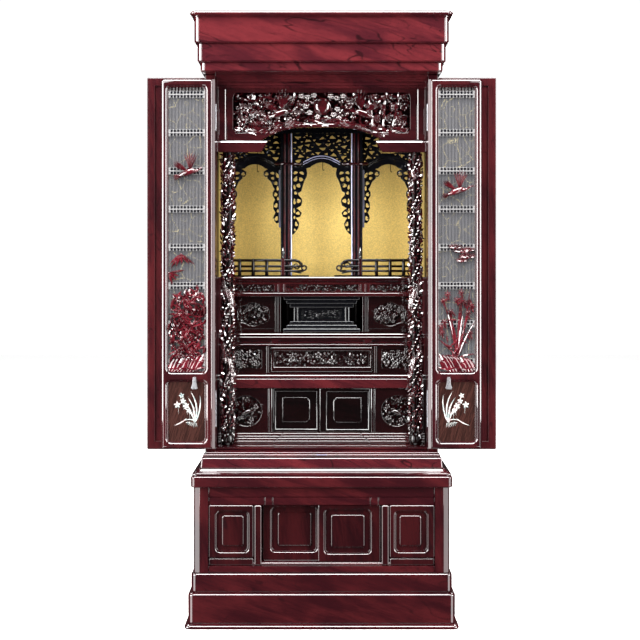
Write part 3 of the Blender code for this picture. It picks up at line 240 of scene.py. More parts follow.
def rosewood(name, grain, tone=1.0, veins=0.85, coat=1.0):
    """Glossy rosewood: red clouds, flowing dark veins on a slant, fine streaks and short pores."""
    paint = colours()
    made = Finish(name, "rosewood", Coat_Weight=coat, Coat_Roughness=0.03, Coat_IOR=1.9,
        Specular_IOR_Level=0.04)
    slant = (0.0, -0.3, 0.0) if grain == "X" else (0.0, 0.12, 0.0)
    field = made.noise(made.stretched(along(grain, 2.8, 9.5), slant), 1.0, 3.0, 0.42, 0.75)
    contour = ((field * 9.0).fraction() - 0.5).size()
    broken = made.noise(made.stretched(along(grain, 5.0, 14.0), slant), 1.0, 2.0)
    vein = made.step(contour, 0.44, 0.492) * made.step(broken, 0.4, 0.56)
    clouds = made.noise(made.stretched(along(grain, 4.5, 17.0), slant), 1.0, 3.0, 0.5, 0.6)
    streaks = made.noise(made.stretched(along(grain, 16.0, 260.0), slant), 1.0, 3.0, 0.6)
    pores = made.step(made.noise(made.stretched(along(grain, 90.0, 900.0), slant), 1.0, 1.0), 0.6, 0.72)
    ground = made.mix(made.step(clouds * 0.72 + streaks * 0.28, 0.38, 0.64), toned(paint.wood, tone),
        toned(paint.wood_light, tone))
    veined = made.mix(vein * veins, ground, paint.wood_vein)
    made.to("Base Color", made.mix(pores * 0.55, veined, paint.wood_vein))
    made.to("Roughness", streaks * 0.14 + 0.24)
    made.bump(streaks * 0.5 - pores * 0.6, 0.00004)
    return made


def carved_wood(name, tone=1.0, coat=1.0):
    """Very glossy rosewood marked by the carver's tool, in two tones at random. Darker copies are painted
    shade in hollows and inside the cabinet; the lighter copy is painted light.
    """
    made = Finish(name, "dark_rosewood", Coat_Weight=coat, Coat_Roughness=0.04, Coat_IOR=2.3,
        Specular_IOR_Level=0.06)
    tool = made.noise(made.place, 260.0, 2.0)
    tint = made.noise(made.place, 34.0, 2.0)
    mask = made.step(tint * 0.7 + tool * 0.3, 0.36, 0.62)
    made.two_tones(mask, colours().carved, 0.4 * tone, 1.25 * tone)
    made.to("Roughness", tool * 0.12 + 0.12)
    made.bump(tool, 0.0001)
    return made


def black_lacquer(name, tone=1.0):
    made = Finish(name, "black_lacquer", Coat_Weight=1.0, Coat_Roughness=0.03, Coat_IOR=1.8,
        Specular_IOR_Level=0.03)
    cloud = made.noise(made.place, 18.0, 3.0)
    made.two_tones(cloud, colours().lacquer, tone, 3.0 * tone)
    made.to("Roughness", cloud * 0.12 + 0.16)
    made.bump(made.noise(made.place, 90.0, 2.0), 0.00008)
    return made


def gold_leaf(name, tone=1.0):
    """Squares of leaf over a sanded ground, with a fine grit."""
    made = Finish(name, "gold_leaf", Specular_IOR_Level=0.3)
    grit = made.noise(made.place, 300.0, 3.0, 0.7)
    cloud = made.noise(made.place, 7.0, 3.0)
    leaf = made.node("ShaderNodeTexVoronoi", {"distance": "CHEBYCHEV", "feature": "F1"},
        {"Vector": made.place, "Scale": 9.2, "Randomness": 0.15}, out="Color")
    square = made.node("ShaderNodeSeparateColor", None, {"Color": leaf})
    mask = made.step(grit * 0.75 + cloud * 0.2 + square * 0.05, 0.3, 0.7)
    made.two_tones(mask, colours().gold, 0.7 * tone, 1.15 * tone)
    made.to("Metallic", grit * 0.1 + 0.02)
    made.to("Roughness", grit * 0.25 + 0.5)
    made.bump(grit, 0.0003)
    return made


def silver():
    made = Finish("silver_metal", "silver")
    mark = made.noise(made.place, 300.0, 3.0)
    made.two_tones(mark, colours().silver, 0.8, 1.2)
    made.to("Metallic", mark * 0.1 + 0.88)
    made.to("Roughness", mark * 0.2 + 0.2)
    made.bump(mark, 0.0001)
    return made


def shell():
    """Mother-of-pearl: white, with soft green and rose."""
    made = Finish("shell_inlay", "shell", Coat_Weight=1.0, Coat_Roughness=0.04)
    sheen = made.noise(made.place, 55.0, 3.0, 0.6, 0.8)
    made.to("Base Color",
        made.node("ShaderNodeValToRGB",
            {"stops": [(0.3, (0.1, 0.15, 0.16)), (0.44, (0.26, 0.29, 0.28)), (0.56, (0.4, 0.4, 0.38)),
            (0.7, (0.24, 0.15, 0.16))]}, {"Fac": sheen}, out="Color"))
    made.to("Roughness", sheen * 0.2 + 0.12)
    return made


def brown_board():
    """Brown board with the grain running up at a slant."""
    made = Finish("brown_board", "dark_rosewood", Coat_Weight=1.0, Coat_Roughness=0.03,
        Specular_IOR_Level=0.04)
    slant = (0.0, -0.28, 0.0)
    streaks = made.noise(made.stretched((420.0, 90.0, 26.0), slant), 1.0, 4.0, 0.6)
    bands = made.noise(made.stretched((90.0, 24.0, 12.0), slant), 1.0, 3.0, 0.55, 0.6)
    mask = made.step(streaks * 0.5 + bands * 0.5, 0.38, 0.64)
    made.two_tones(mask, colours().board, 0.5, 1.35)
    made.to("Roughness", streaks * 0.2 + 0.3)
    made.bump(streaks, 0.0001)
    return made


def pale_wood(name, tone=1.0):
    made = Finish(name, "shell", Specular_IOR_Level=0.3)
    streaks = made.noise(made.stretched((40.0, 60.0, 700.0)), 1.0, 3.0, 0.6)
    made.two_tones(streaks, colours().pale, 0.85 * tone, 1.15 * tone)
    made.to("Roughness", streaks * 0.2 + 0.4)
    made.bump(streaks, 0.00005)
    return made


def gauze():
    """Thin grey gauze woven with loose loops of gold thread."""
    paint = colours()
    made = Finish("gauze_cloth", "gauze", Specular_IOR_Level=0.2)
    bent = made.node("ShaderNodeVectorMath", {"operation": "MULTIPLY_ADD"},
        {0: made.node("ShaderNodeTexNoise", None, {"Vector": made.place, "Scale": 30.0, "Detail": 1.0},
            out="Color"), 1: (0.014, 0.0, 0.014), 2: made.place})
    cells = {"Vector": bent, "Scale": 22.0, "Randomness": 0.85}
    edge = made.node("ShaderNodeTexVoronoi", {"feature": "DISTANCE_TO_EDGE"}, cells)
    ring = made.node("ShaderNodeTexVoronoi", {"feature": "F1"}, cells)
    loops = 1.0 - made.step(edge, 0.012, 0.026)
    rings = 1.0 - made.step((ring - 0.2).size(), 0.006, 0.02)
    dashes = made.step(made.noise(made.place, 260.0, 1.0), 0.48, 0.54)
    thread = (loops + rings) * dashes
    weave = made.noise(made.stretched((900.0, 1.0, 160.0)), 1.0, 1.0)
    ground = made.mix(weave, toned(paint.gauze, 0.8), toned(paint.gauze, 1.2))
    made.to("Base Color", made.mix(thread, ground, paint.thread))
    made.to("Roughness", weave * 0.1 + 0.55)
    made.to("Alpha", made.node("ShaderNodeMath", {"operation": "MAXIMUM"},
            {0: weave * 0.1 + 0.36, 1: thread * 0.85}))
    made.bump(weave + thread, 0.0001)
    return made


FINISHES = {}


def finish(name):
    """The finish of that name, made when it is first asked for."""
    makers = {
        "wide": lambda: rosewood("rosewood_wide_boards", "X"),
        "plinth": lambda: rosewood("rosewood_plinth", "X", tone=0.50, veins=0.6),
        "rail": lambda: rosewood("rosewood_rails", "X", tone=0.45, veins=0.3),
        "stile": lambda: rosewood("rosewood_stiles", "Z", tone=0.50, veins=0.3),
        "edge": lambda: rosewood("rosewood_leaf_edges", "Z", tone=0.50, veins=0.3, coat=0.5),
        "post": lambda: rosewood("rosewood_posts", "Z", tone=0.45, veins=0.3, coat=0.7),
        "base_rail": lambda: rosewood("rosewood_base_rails", "X", tone=0.55, veins=0.4),
        "panel": lambda: rosewood("rosewood_base_panels", "Z", tone=0.30, veins=0.7),
        # A very dark copy of rosewood: painted shade on the ceiling and the rows inside the cabinet.
        "shaded_rail": lambda: rosewood("rosewood_inner_rails", "X", tone=0.12, veins=0.2),
        # A very dark copy of rosewood for the lattice slats: painted shade, the slats dark against the
        # light behind.
        "shaded_stile": lambda: rosewood("rosewood_inner_stiles", "Z", tone=0.12, veins=0.2),
        "side": lambda: rosewood("rosewood_side_boards", "Z", tone=0.62, veins=0.5, coat=0.25),
        "carved": lambda: carved_wood("carved_rosewood"),
        # A dark copy of carved rosewood: painted shade on the carvings inside the cabinet, and on the
        # pillar feet.
        "carved_shaded": lambda: carved_wood("carved_rosewood_inner", 0.20, 0.42),
        # A lighter copy of carved rosewood for the door carvings: painted light, a pinkish sheen put into
        # the colour.
        "carved_lit": lambda: carved_wood("carved_rosewood_light", 2.0, 0.62),
        # A near-black copy of carved rosewood: painted shade behind the transom carving and on the hidden
        # pillar shafts.
        "painted_shade_ground": lambda: carved_wood("carved_rosewood_ground", 0.05, 0.0),
        "shelf": lambda: rosewood("rosewood_shelf", "X", tone=0.70, veins=0.6),
        # A near-black copy of rosewood: painted shade on the small doors inside the cabinet.
        "small_door": lambda: rosewood("rosewood_small_doors", "X", tone=0.03, veins=0.2),
        "pale": lambda: pale_wood("pale_bars"),
        # A lighter copy of the pale wood: painted light on the backing, as if lit through the gauze.
        "backing": lambda: pale_wood("pale_backing", 2.6),
        "lacquer": lambda: black_lacquer("black_lacquer_coat"),
        # Grey lacquer: on the shrine's side plates a painted reflection, on the tray pull the pull's own
        # dark colour.
        "plate": lambda: black_lacquer("grey_lacquer", 34.0),
        # Pale grey lacquer: a painted highlight for lines on the black shrine.
        "bright": lambda: black_lacquer("bright_lacquer", 150.0),
        "railing": lambda: carved_wood("railing_wood", 0.05, 0.15),
        "stripe": lambda: carved_wood("shrine_stripe_wood", 1.1, 0.06),
        "gold": lambda: gold_leaf("gold_leaf_wall"),
        # A darker copy of the gold leaf: painted shade on the side walls.
        "gold_side": lambda: gold_leaf("gold_leaf_sides", 0.30),
        "silver": silver,
        "shell": shell,
        "board": brown_board,
        "gauze": gauze,
    }
    if name not in FINISHES:
        FINISHES[name] = makers[name]()
    return FINISHES[name]


# Bench tools

def clear():
    """Nothing is selected and nothing is being edited."""
    if bpy.context.mode != "OBJECT":
        bpy.ops.object.mode_set(mode="OBJECT")
    bpy.ops.object.select_all(action="DESELECT")


def take(obj):
    """obj alone is selected and active."""
    clear()
    obj.select_set(True)
    bpy.context.view_layer.objects.active = obj
    return obj


@contextmanager
def editing(obj):
    take(obj)
    bpy.ops.object.mode_set(mode="EDIT")
    bpy.ops.mesh.select_all(action="SELECT")
    yield obj
    bpy.ops.object.mode_set(mode="OBJECT")


def pick(obj, kind, test):
    """Selects the vertices, edges or faces that pass the test, and nothing else."""
    bpy.ops.mesh.select_mode(type={"verts": "VERT", "edges": "EDGE", "faces": "FACE"}[kind])
    bpy.ops.mesh.select_all(action="DESELECT")
    shape = bmesh.from_edit_mesh(obj.data)
    chosen = [part for part in getattr(shape, kind) if test(part)]
    if not chosen:
        raise RuntimeError(f"nothing to pick on {obj.name}")
    for part in chosen:
        part.select_set(True)
    shape.select_flush_mode()
    bmesh.update_edit_mesh(obj.data)


def pressed(obj, level, share):
    """What stands in front of a level is pressed back towards it, so that the closed leaves pass."""
    with editing(obj):
        pick(obj, "verts", lambda v: v.co.y < level)
        bpy.ops.transform.resize(value=(1.0, share, 1.0), center_override=(0.0, level, 0.0))
    return obj


def settle():
    """The place of what is selected goes into its mesh."""
    bpy.ops.object.transform_apply(location=True, rotation=True, scale=True)


def block(name, first, second):
    """A plain block between any two opposite corners, to be shaped."""
    clear()
    low = Vector([min(pair) for pair in zip(first, second)])
    high = Vector([max(pair) for pair in zip(first, second)])
    bpy.ops.mesh.primitive_cube_add(size=1.0, location=(low + high) / 2, scale=high - low)
    obj = bpy.context.active_object
    obj.name = name
    settle()
    return obj


def rounded(obj, width, segments=2):
    """Every sharp edge is rounded and the faces between are left flat."""
    take(obj)
    bevel = obj.modifiers.new("rounding", "BEVEL")
    bevel.width = width
    bevel.segments = segments
    bevel.limit_method = "ANGLE"
    bevel.angle_limit = math.radians(35.0)
    bpy.ops.object.modifier_apply(modifier=bevel.name)
    return flattened(obj)


def bar(low, high, width, segments=2):
    """A block with rounded edges, as one part of a piece."""
    return rounded(block("bar", low, high), width, segments)


def smooth(obj, angle=42.0):
    take(obj)
    bpy.ops.object.shade_smooth_by_angle(angle=math.radians(angle))
    return obj


def flattened(obj, angle=42.0):
    """Smooth over the rounded edges, with the wide faces shaded flat."""
    smooth(obj, angle)
    normals = obj.modifiers.new("normals", "WEIGHTED_NORMAL")
    normals.keep_sharp = True
    bpy.ops.object.modifier_apply(modifier=normals.name)
    return obj


def gather(name, parts):
    """Several shapes become one piece."""
    clear()
    for part in parts:
        part.select_set(True)
    bpy.context.view_layer.objects.active = parts[0]
    if len(parts) > 1:
        bpy.ops.object.join()
    parts[0].name = name
    return parts[0]


def hang(obj, finish_name, node=None, body="root"):
    """The piece gets its finish, stands for its node and rides on the node's body, or on the one named."""
    chosen = finish(finish_name)
    obj.data.materials.clear()
    obj.data.materials.append(chosen.material)
    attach(obj, frame["nodes"][node]["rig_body"] if node else body)
    if node:
        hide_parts(node)


def turned_copy(obj, name, turn):
    """A copy with its own mesh, moved by a matrix."""
    take(obj)
    bpy.ops.object.duplicate()
    made = bpy.context.active_object
    made.name = name
    made.matrix_world = turn
    settle()
    return made


def arc(centre, radius, start, stop, steps):
    """Points on an arc, angles in degrees."""
    turns = [math.radians(start + (stop - start) * i / steps) for i in range(steps + 1)]
    return [(centre[0] + radius * math.cos(turn), centre[1] + radius * math.sin(turn)) for turn in turns]


def rectangle(left, low, right, high, corner=0.0, steps=4):
    """A rectangle's outline, with rounded corners if corner is above 0."""
    if corner <= 0:
        return [(left, low), (right, low), (right, high), (left, high)]
    near, far = (left + corner, low + corner), (right - corner, high - corner)
    return (arc(near, corner, 180, 270, steps) + arc((far[0], near[1]), corner, 270, 360, steps)
        + arc(far, corner, 0, 90, steps) + arc((near[0], far[1]), corner, 90, 180, steps))


def on_side(side, left, low, right, high):
    """A rectangle given for the right side, mirrored for the left one."""
    return (left, low, right, high) if side > 0 else (-right, low, -left, high)


FACING = {
    "front": Matrix(((1, 0, 0, 0), (0, 0, -1, 0), (0, 1, 0, 0), (0, 0, 0, 1))),
    "side": Matrix(((0, 0, 1, 0), (1, 0, 0, 0), (0, 1, 0, 0), (0, 0, 0, 1))),
    "top": Matrix.Identity(4),
}


def cut_out(name, outlines, near, far, rim=0.0, facing="front", detail=1):
    """A board cut to outlines of (x, z), holes too, from near to far along Y, with rounded rims."""
    data = bpy.data.curves.new(name, "CURVE")
    data.dimensions = "2D"
    data.fill_mode = "BOTH"
    data.extrude = abs(far - near) / 2 - rim
    data.bevel_depth = rim
    data.bevel_resolution = detail
    data.offset = -rim
    for outline in outlines:
        line = data.splines.new("POLY")
        line.points.add(len(outline) - 1)
        for point, (x, y) in zip(line.points, outline):
            point.co = (x, y, 0.0, 1.0)
        line.use_cyclic_u = True
    obj = bpy.data.objects.new(name, data)
    bpy.context.scene.collection.objects.link(obj)
    take(obj)
    bpy.ops.object.convert(target="MESH")
    obj = bpy.context.active_object
    middle = (near + far) / 2
    offset = (0.0, middle, 0.0) if facing == "front" else (0.0, 0.0, middle)
    obj.matrix_world = Matrix.Translation(offset) @ FACING[facing]
    settle()
    with editing(obj):
        bpy.ops.mesh.remove_doubles(threshold=0.00001)
        bpy.ops.mesh.normals_make_consistent(inside=False)
    return flattened(obj)


def shoulder(out, low, high, radius, foot=None, steps=5):
    """The edge of one band of a moulding: rounded at its foot and at its top."""
    radius = min(radius, (high - low) / 2 - 0.0001)
    foot = foot or radius
    return ([(out - foot + x, low + foot + z) for x, z in arc((0, 0), foot, -90, 0, steps)]
        + [(out - radius + x, high - radius + z) for x, z in arc((0, 0), radius, 0, 90, steps)])


def moulded(name, half, front, back, profile, corner=0.004, segments=4):
    """A wide board whose front and sides follow a profile of (out, z), from the bottom up."""
    out, level = profile[0]
    clear()
    deep = back - (front - out)
    bpy.ops.mesh.primitive_plane_add(size=1.0, location=(0.0, back - deep / 2, level))
    obj = bpy.context.active_object
    obj.name = name
    obj.scale = (2 * (half + out), deep, 1.0)
    settle()
    with editing(obj):
        pick(obj, "verts", lambda v: v.co.y < back - deep / 2)
        bpy.ops.mesh.bevel(offset=corner, segments=segments, affect="VERTICES")
        bpy.ops.mesh.select_all(action="SELECT")
        for next_out, next_level in profile[1:]:
            bpy.ops.mesh.extrude_region_move(
                TRANSFORM_OT_translate={"value": (0.0, 0.0, next_level - level)})
            wide = (half + next_out) / (half + out)
            deep = (back - front + next_out) / (back - front + out)
            if abs(wide - 1) > 1e-7:
                bpy.ops.transform.resize(value=(wide, deep, 1.0), center_override=(0.0, back, 0.0))
            out, level = next_out, next_level
        bpy.ops.mesh.select_all(action="SELECT")
        bpy.ops.mesh.normals_make_consistent(inside=False)
    return flattened(obj, 38.0)


def tube(name, points, radii, sides):
    """A round rod through points, cut flat at its ends."""
    return from_lists(name, *rod_mesh(points, radii, sides, round_ends=False))


def rod_mesh(points, radii, sides=6, round_ends=True):
    """Vertices and faces of a closed rod through points, with one radius or a radius at each."""
    points = [Vector(point) for point in points]
    radii = list(radii) if hasattr(radii, "__len__") else [radii] * len(points)
    if round_ends:
        first = (points[0] - points[1]).normalized() * radii[0] * 0.7
        last = (points[-1] - points[-2]).normalized() * radii[-1] * 0.7
        points = [points[0] + first, *points, points[-1] + last]
        radii = [radii[0] * 0.35, *radii, radii[-1] * 0.35]
    verts, faces = [], []
    side = None
    for i, (point, radius) in enumerate(zip(points, radii)):
        ahead = (points[min(i + 1, len(points) - 1)] - points[max(i - 1, 0)]).normalized()
        if side is None:
            side = ahead.orthogonal().normalized()
        side = (side - ahead * side.dot(ahead)).normalized()
        other = ahead.cross(side)
        for k in range(sides):
            angle = math.tau * k / sides
            verts.append(point + (side * math.cos(angle) + other * math.sin(angle)) * radius)
    rings = len(points)
    for i in range(rings - 1):
        for k in range(sides):
            a, b = i * sides + k, i * sides + (k + 1) % sides
            faces.append((a, b, b + sides, a + sides))
    faces.append(tuple(reversed(range(sides))))
    faces.append(tuple(range((rings - 1) * sides, rings * sides)))
    return verts, faces


def from_lists(name, verts, faces):
    mesh = bpy.data.meshes.new(name)
    mesh.from_pydata([tuple(v) for v in verts], [], faces)
    mesh.update()
    obj = bpy.data.objects.new(name, mesh)
    bpy.context.scene.collection.objects.link(obj)
    return smooth(obj, 50.0)


def run(name, outline, left, right, rim=0.0):
    """A length of moulding along X, from an outline of (y, z)."""
    obj = cut_out(name, [outline], 0.0, right - left, rim, facing="top", detail=2)
    obj.matrix_world = Matrix.Translation((left, 0.0, 0.0)) @ FACING["side"]
    take(obj)
    settle()
    with editing(obj):
        bpy.ops.mesh.normals_make_consistent(inside=False)
    return flattened(obj)


def board(name, node, finish_name, width=None):
    """A board in the place of a node, with rounded edges."""
    made = rounded(block(name, *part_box(node)), width or sizes().edge)
    hang(made, finish_name, node)


def sunk_panel(name, opening, raised, front, back, corner):
    """What fills an opening: a sunk field and a raised panel with sloping sides."""
    left, low, right, high = opening
    lap, sunk, step = 0.003, 0.0075, 0.0034
    field = block(f"{name}_field", (left - lap, front + sunk, low - lap), (right + lap, back, high + lap))
    bead = cut_out(f"{name}_bead", [rectangle(left, low, right, high, corner),
            rectangle(left + step, low + step, right - step, high - step, corner - 0.001)], front + 0.003,
        front + sunk + 0.001, 0.0014)
    top = cut_out(f"{name}_raised", [rectangle(*raised, corner * 0.6)], front + 0.003, front + sunk + 0.004,
        0.0032, detail=2)
    return [field, bead, top]


def framed(name, outer, opening, raised, front, back, corner):
    """A frame with a rounded opening, its bead and its raised panel, as one shape."""
    rails = cut_out(f"{name}_frame", [rectangle(*outer, 0.0042, 2), rectangle(*opening, corner)], front,
        back, sizes().sight_edge, detail=2)
    return gather(name, [rails, *sunk_panel(name, opening, raised, front, back - 0.0005, corner)])


# Stage

def studio_light(name, place, target, size, power):
    clear()
    bpy.ops.object.light_add(type="AREA", location=place)
    light = bpy.context.active_object
    light.name = name
    light.data.shape = "RECTANGLE"
    light.data.size, light.data.size_y = size
    light.data.energy = power
    light.visible_camera = False
    light.rotation_euler = (Vector(target) - Vector(place)).to_track_quat("-Z", "Y").to_euler()
    return light


class ALTAR_OT_stage(bpy.types.Operator):
    """Pale floor, soft studio light and the camera"""
    bl_idname = "altar.stage"
    bl_label = "Stage"

    def execute(self, context):
        scene = context.scene
        scene.view_settings.view_transform = "Standard"
        clear()
        bpy.ops.mesh.primitive_plane_add(size=14.0, location=(0.0, 3.0, -0.0004))
        floor = context.active_object
        floor.name = "studio_floor"
        settle()
        pale = Finish("studio_floor_paint", "", Roughness=0.9, Emission_Strength=0.88)
        dust = pale.noise(pale.place, 3.0, 2.0)
        pale.to("Base Color", pale.mix(dust, (0.62, 0.62, 0.62), (0.66, 0.66, 0.66)))
        pale.shader.inputs["Emission Color"].default_value = (1.0, 1.0, 1.0, 1.0)
        floor.data.materials.append(pale.material)
        floor.visible_glossy = False
        floor.visible_diffuse = False
        floor.visible_shadow = False
        world = bpy.data.worlds.new("studio")
        scene.world = world
        world.use_nodes = True
        tree = world.node_tree
        sky = tree.nodes["Background"]
        rays = tree.nodes.new("ShaderNodeLightPath")
        tone = tree.nodes.new("ShaderNodeMapRange")
        tone.inputs["To Min"].default_value = 0.02
        tone.inputs["To Max"].default_value = 1.05
        tree.links.new(rays.outputs["Is Camera Ray"], tone.inputs["Value"])
        tree.links.new(tone.outputs["Result"], sky.inputs["Strength"])
        sky.inputs["Color"].default_value = (1.0, 1.0, 1.0, 1.0)
        studio_light("light_left", (-3.5, -2.4, 1.7), (0.0, 0.0, 0.9), (2.4, 3.4), 560.0)
        studio_light("light_right", (3.6, -2.3, 1.7), (0.0, 0.0, 0.9), (2.0, 3.4), 430.0)
        studio_light("light_near_left", (-1.48, -3.4, 1.05), (0.0, 0.2, 0.95), (0.5, 2.8), 40.0)
        studio_light("light_near_right", (1.48, -3.4, 1.05), (0.0, 0.2, 0.95), (0.5, 2.8), 26.0)
        studio_light("light_low_left", (-0.98, -0.93, -0.02), (0.0, -0.25, 0.1), (0.72, 0.62), 6.0)
        studio_light("light_low_right", (0.98, -0.93, -0.02), (0.0, -0.25, 0.1), (0.72, 0.62), 4.6)
        studio_light("light_top", (0.0, -1.9, 4.3), (0.0, -0.1, 1.0), (3.4, 2.0), 620.0)
        studio_light("light_back", (0.0, 3.4, 2.8), (0.0, 0.3, 0.9), (3.0, 1.5), 140.0)
        inside = studio_light("light_inside", (0.018, 0.035, 1.13), (0.018, 1.0, 1.1), (0.34, 0.18), 0.84)
        inside.visible_glossy = False
        bpy.ops.object.camera_add(location=(0.0, -3.413, 0.99185), rotation=(math.pi / 2, 0.0, 0.0))
        camera = context.active_object
        camera.name = "camera"
        camera.data.lens = 63.0
        camera.data.sensor_width = 36.0
        camera.data.shift_x = -0.0025
        camera.data.shift_y = -0.075
        scene.camera = camera
        return {"FINISHED"}


# Plinth and base

class ALTAR_OT_plinth(bpy.types.Operator):
    """Stepped plinth with rounded shoulders"""
    bl_idname = "altar.plinth"
    bl_label = "Plinth"

    def execute(self, context):
        profile = (shoulder(0.0175, 0.0, 0.0105, 0.0045) + [(0.0095, 0.0118)] + shoulder(0.008, 0.0135,
                0.096, 0.0048) + [(-0.001, 0.0965)] + shoulder(0.0, 0.099, 0.1507, 0.0048))
        made = moulded("plinth_boards", 0.3645, -0.2925, 0.31, profile, 0.015, 7)
        hang(made, "plinth", "plinth")
        return {"FINISHED"}


class ALTAR_OT_base_body(bpy.types.Operator):
    """Base: posts, rails, boards, two fixed panels and two sliding doors"""
    bl_idname = "altar.base_body"
    bl_label = "Base body"

    def execute(self, context):
        for side in SIDES:
            self.post(side)
            self.panel(side)
            board(f"base_side_board_{SIDES[side]}", f"base_side_{SIDES[side]}", "side")
        self.doors()
        self.rails()
        board("base_back_board", "base_back", "wide")
        board("base_floor_board", "base_floor", "wide")
        return {"FINISHED"}

    def post(self, side):
        name = SIDES[side]
        low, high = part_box(f"base_post_{name}")
        outer, inner = (high.x, low.x) if side > 0 else (low.x, high.x)
        wide, steps = 0.017, 7
        outline = [(inner, high.y), (inner, low.y)]
        depth = 0.0
        for k in range(steps + 1):
            outline.append((outer - side * (0.0015 + wide * (1 - k / steps)), low.y + depth))
            depth += wide / steps * math.tan(math.radians(9 + 24 * (k + 0.5) / steps))
        outline += [(outer, low.y + depth + 0.0012), (outer, high.y)]
        made = cut_out(f"base_corner_post_{name}", [outline], low.z, high.z, 0.0006, "top")
        hang(made, "post", f"base_post_{name}")

    def panel(self, side):
        name = SIDES[side]
        low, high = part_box(f"base_panel_{name}")
        outer, inner = 0.3165, 0.1905
        front, back = low.y, high.y

        leaf = framed(f"base_fixed_panel_{name}", on_side(side, inner, 0.1925, outer, high.z),
            on_side(side, 0.205, 0.208, 0.296, 0.3235), on_side(side, 0.218, 0.225, 0.279, 0.3105), front,
            back, 0.011)
        strip = bar(*self.corners(on_side(side, inner, 0.1712, outer, 0.1908), front + 0.002, back), 0.004,
            3)
        stile = bar(*self.corners(on_side(side, 0.1676, 0.1712, 0.189, high.z), front, back), 0.005, 4)
        made = gather(f"base_fixed_panel_{name}", [leaf, strip, stile])
        hang(made, "panel", f"base_panel_{name}")

    @staticmethod
    def corners(face, front, back):
        left, bottom, right, top = face
        return (left, front, bottom), (right, back, top)

    def doors(self):
        openings = {"left": ((-0.1423, 0.2042, -0.0129, 0.3309), (-0.1238, 0.2211, -0.0287, 0.3148)),
            "right": ((0.0084, 0.2022, 0.1381, 0.3268), (0.0263, 0.219, 0.1206, 0.311))}
        for name, (opening, raised) in openings.items():
            low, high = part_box(f"base_door_{name}")
            made = framed(f"base_sliding_door_{name}", (low.x, low.z, high.x, high.z), opening, raised,
                low.y, high.y, 0.011)
            hang(made, "panel", f"base_door_{name}")

    def rails(self):
        low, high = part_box("base_rail_top")
        back = high.y
        split = 0.3625
        head = bar((low.x, low.y, split), (high.x, back, high.z), 0.0022)
        parts = [head]
        edges = (low.x, -0.159, -0.137, 0.137, 0.159, high.x)
        for i, (left, right) in enumerate(zip(edges, edges[1:])):
            proud = 0.0 if i % 2 else 0.0015
            parts.append(bar((left + 0.0003, low.y + proud, low.z), (right - 0.0003, back, split - 0.0004),
                    0.0018))
        hang(gather("base_head_rails", parts), "base_rail", "base_rail_top")
        low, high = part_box("base_rail_low")
        foot = bar((low.x, low.y, low.z), (high.x, high.y, 0.1695), 0.002)
        track = bar((low.x, low.y + 0.004, 0.1698), (high.x, high.y, high.z), 0.0035, 3)
        hang(gather("base_foot_rails", [foot, track]), "base_rail", "base_rail_low")


class ALTAR_OT_base_top(bpy.types.Operator):
    """Moulded top of the base and the sill above it"""
    bl_idname = "altar.base_top"
    bl_label = "Base top and sill"

    def execute(self, context):
        profile = shoulder(0.0245, 0.3903, 0.4215, 0.0042) + [(0.019, 0.4228), (0.019, 0.4245),
            (0.0215, 0.4258), (0.0212, 0.428), (0.018, 0.4304), (0.013, 0.4322), (0.009, 0.434),
            (0.0068, 0.4362), (0.006, 0.4385), (0.0042, 0.44)]
        made = moulded("base_top_board", 0.341, -0.269, 0.3, profile, 0.011, 6)
        hang(made, "base_rail", "base_top")
        profile = [(-0.0015, 0.4403), (-0.0004, 0.4412), (0.0, 0.4425), (-0.0012, 0.452), (-0.0018, 0.462),
            (-0.002, 0.4655), (-0.003, 0.4678), (-0.005, 0.469)]
        made = moulded("sill_board", 0.341, -0.266, 0.3, profile, 0.004)
        hang(made, "wide", "cabinet_sill")
        return {"FINISHED"}


# Cabinet

class ALTAR_OT_carcass(bpy.types.Operator):
    """Sides, back, floor and ceiling of the cabinet"""
    bl_idname = "altar.carcass"
    bl_label = "Carcass"

    def execute(self, context):
        for name in ("left", "right"):
            board(f"cabinet_side_board_{name}", f"cabinet_side_{name}", "side", sizes().soft_edge)
        board("cabinet_back_board", "cabinet_back", "side")
        board("cabinet_floor_board", "cabinet_floor", "rail")
        # The ceiling is darkened: painted shade under the cornice.
        board("cabinet_ceiling_board", "cabinet_ceiling", "shaded_rail")
        return {"FINISHED"}


class ALTAR_OT_cornice(bpy.types.Operator):
    """Three stepped boards and the rounded lip, with the soffit moulding under them"""
    bl_idname = "altar.cornice"
    bl_label = "Cornice"

    def execute(self, context):
        profile = (shoulder(0.0, 1.5559, 1.5806, 0.0016, 0.005) + shoulder(0.008, 1.581, 1.6326, 0.0016,
                0.0062) + shoulder(0.016, 1.633, 1.7052, 0.0016, 0.0062) + [(0.0175, 1.7062),
                (0.0175, 1.708)] + shoulder(0.027, 1.7092, 1.7209, 0.0056))
        made = moulded("cornice_boards", 0.3412, -0.265, 0.3, profile, 0.014, 8)
        hang(made, "wide", "cornice")
        low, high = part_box("head_rail")
        steps = [(-0.2105, 1.5556), (-0.2105, 1.55), (-0.205, 1.549), (-0.205, 1.544), (-0.2, 1.5428),
            (-0.2, 1.5388), (-0.1865, 1.538), (-0.1865, 1.53), (-0.181, 1.529), (-0.181, 1.5223),
            (high.y, 1.5223), (high.y, 1.5556)]
        made = run("soffit_moulding", steps, low.x, high.x, 0.0008)
        # The soffit takes the lighter tone of the wide boards: painted light where the cornice shades it.
        hang(made, "wide", "head_rail")
        return {"FINISHED"}


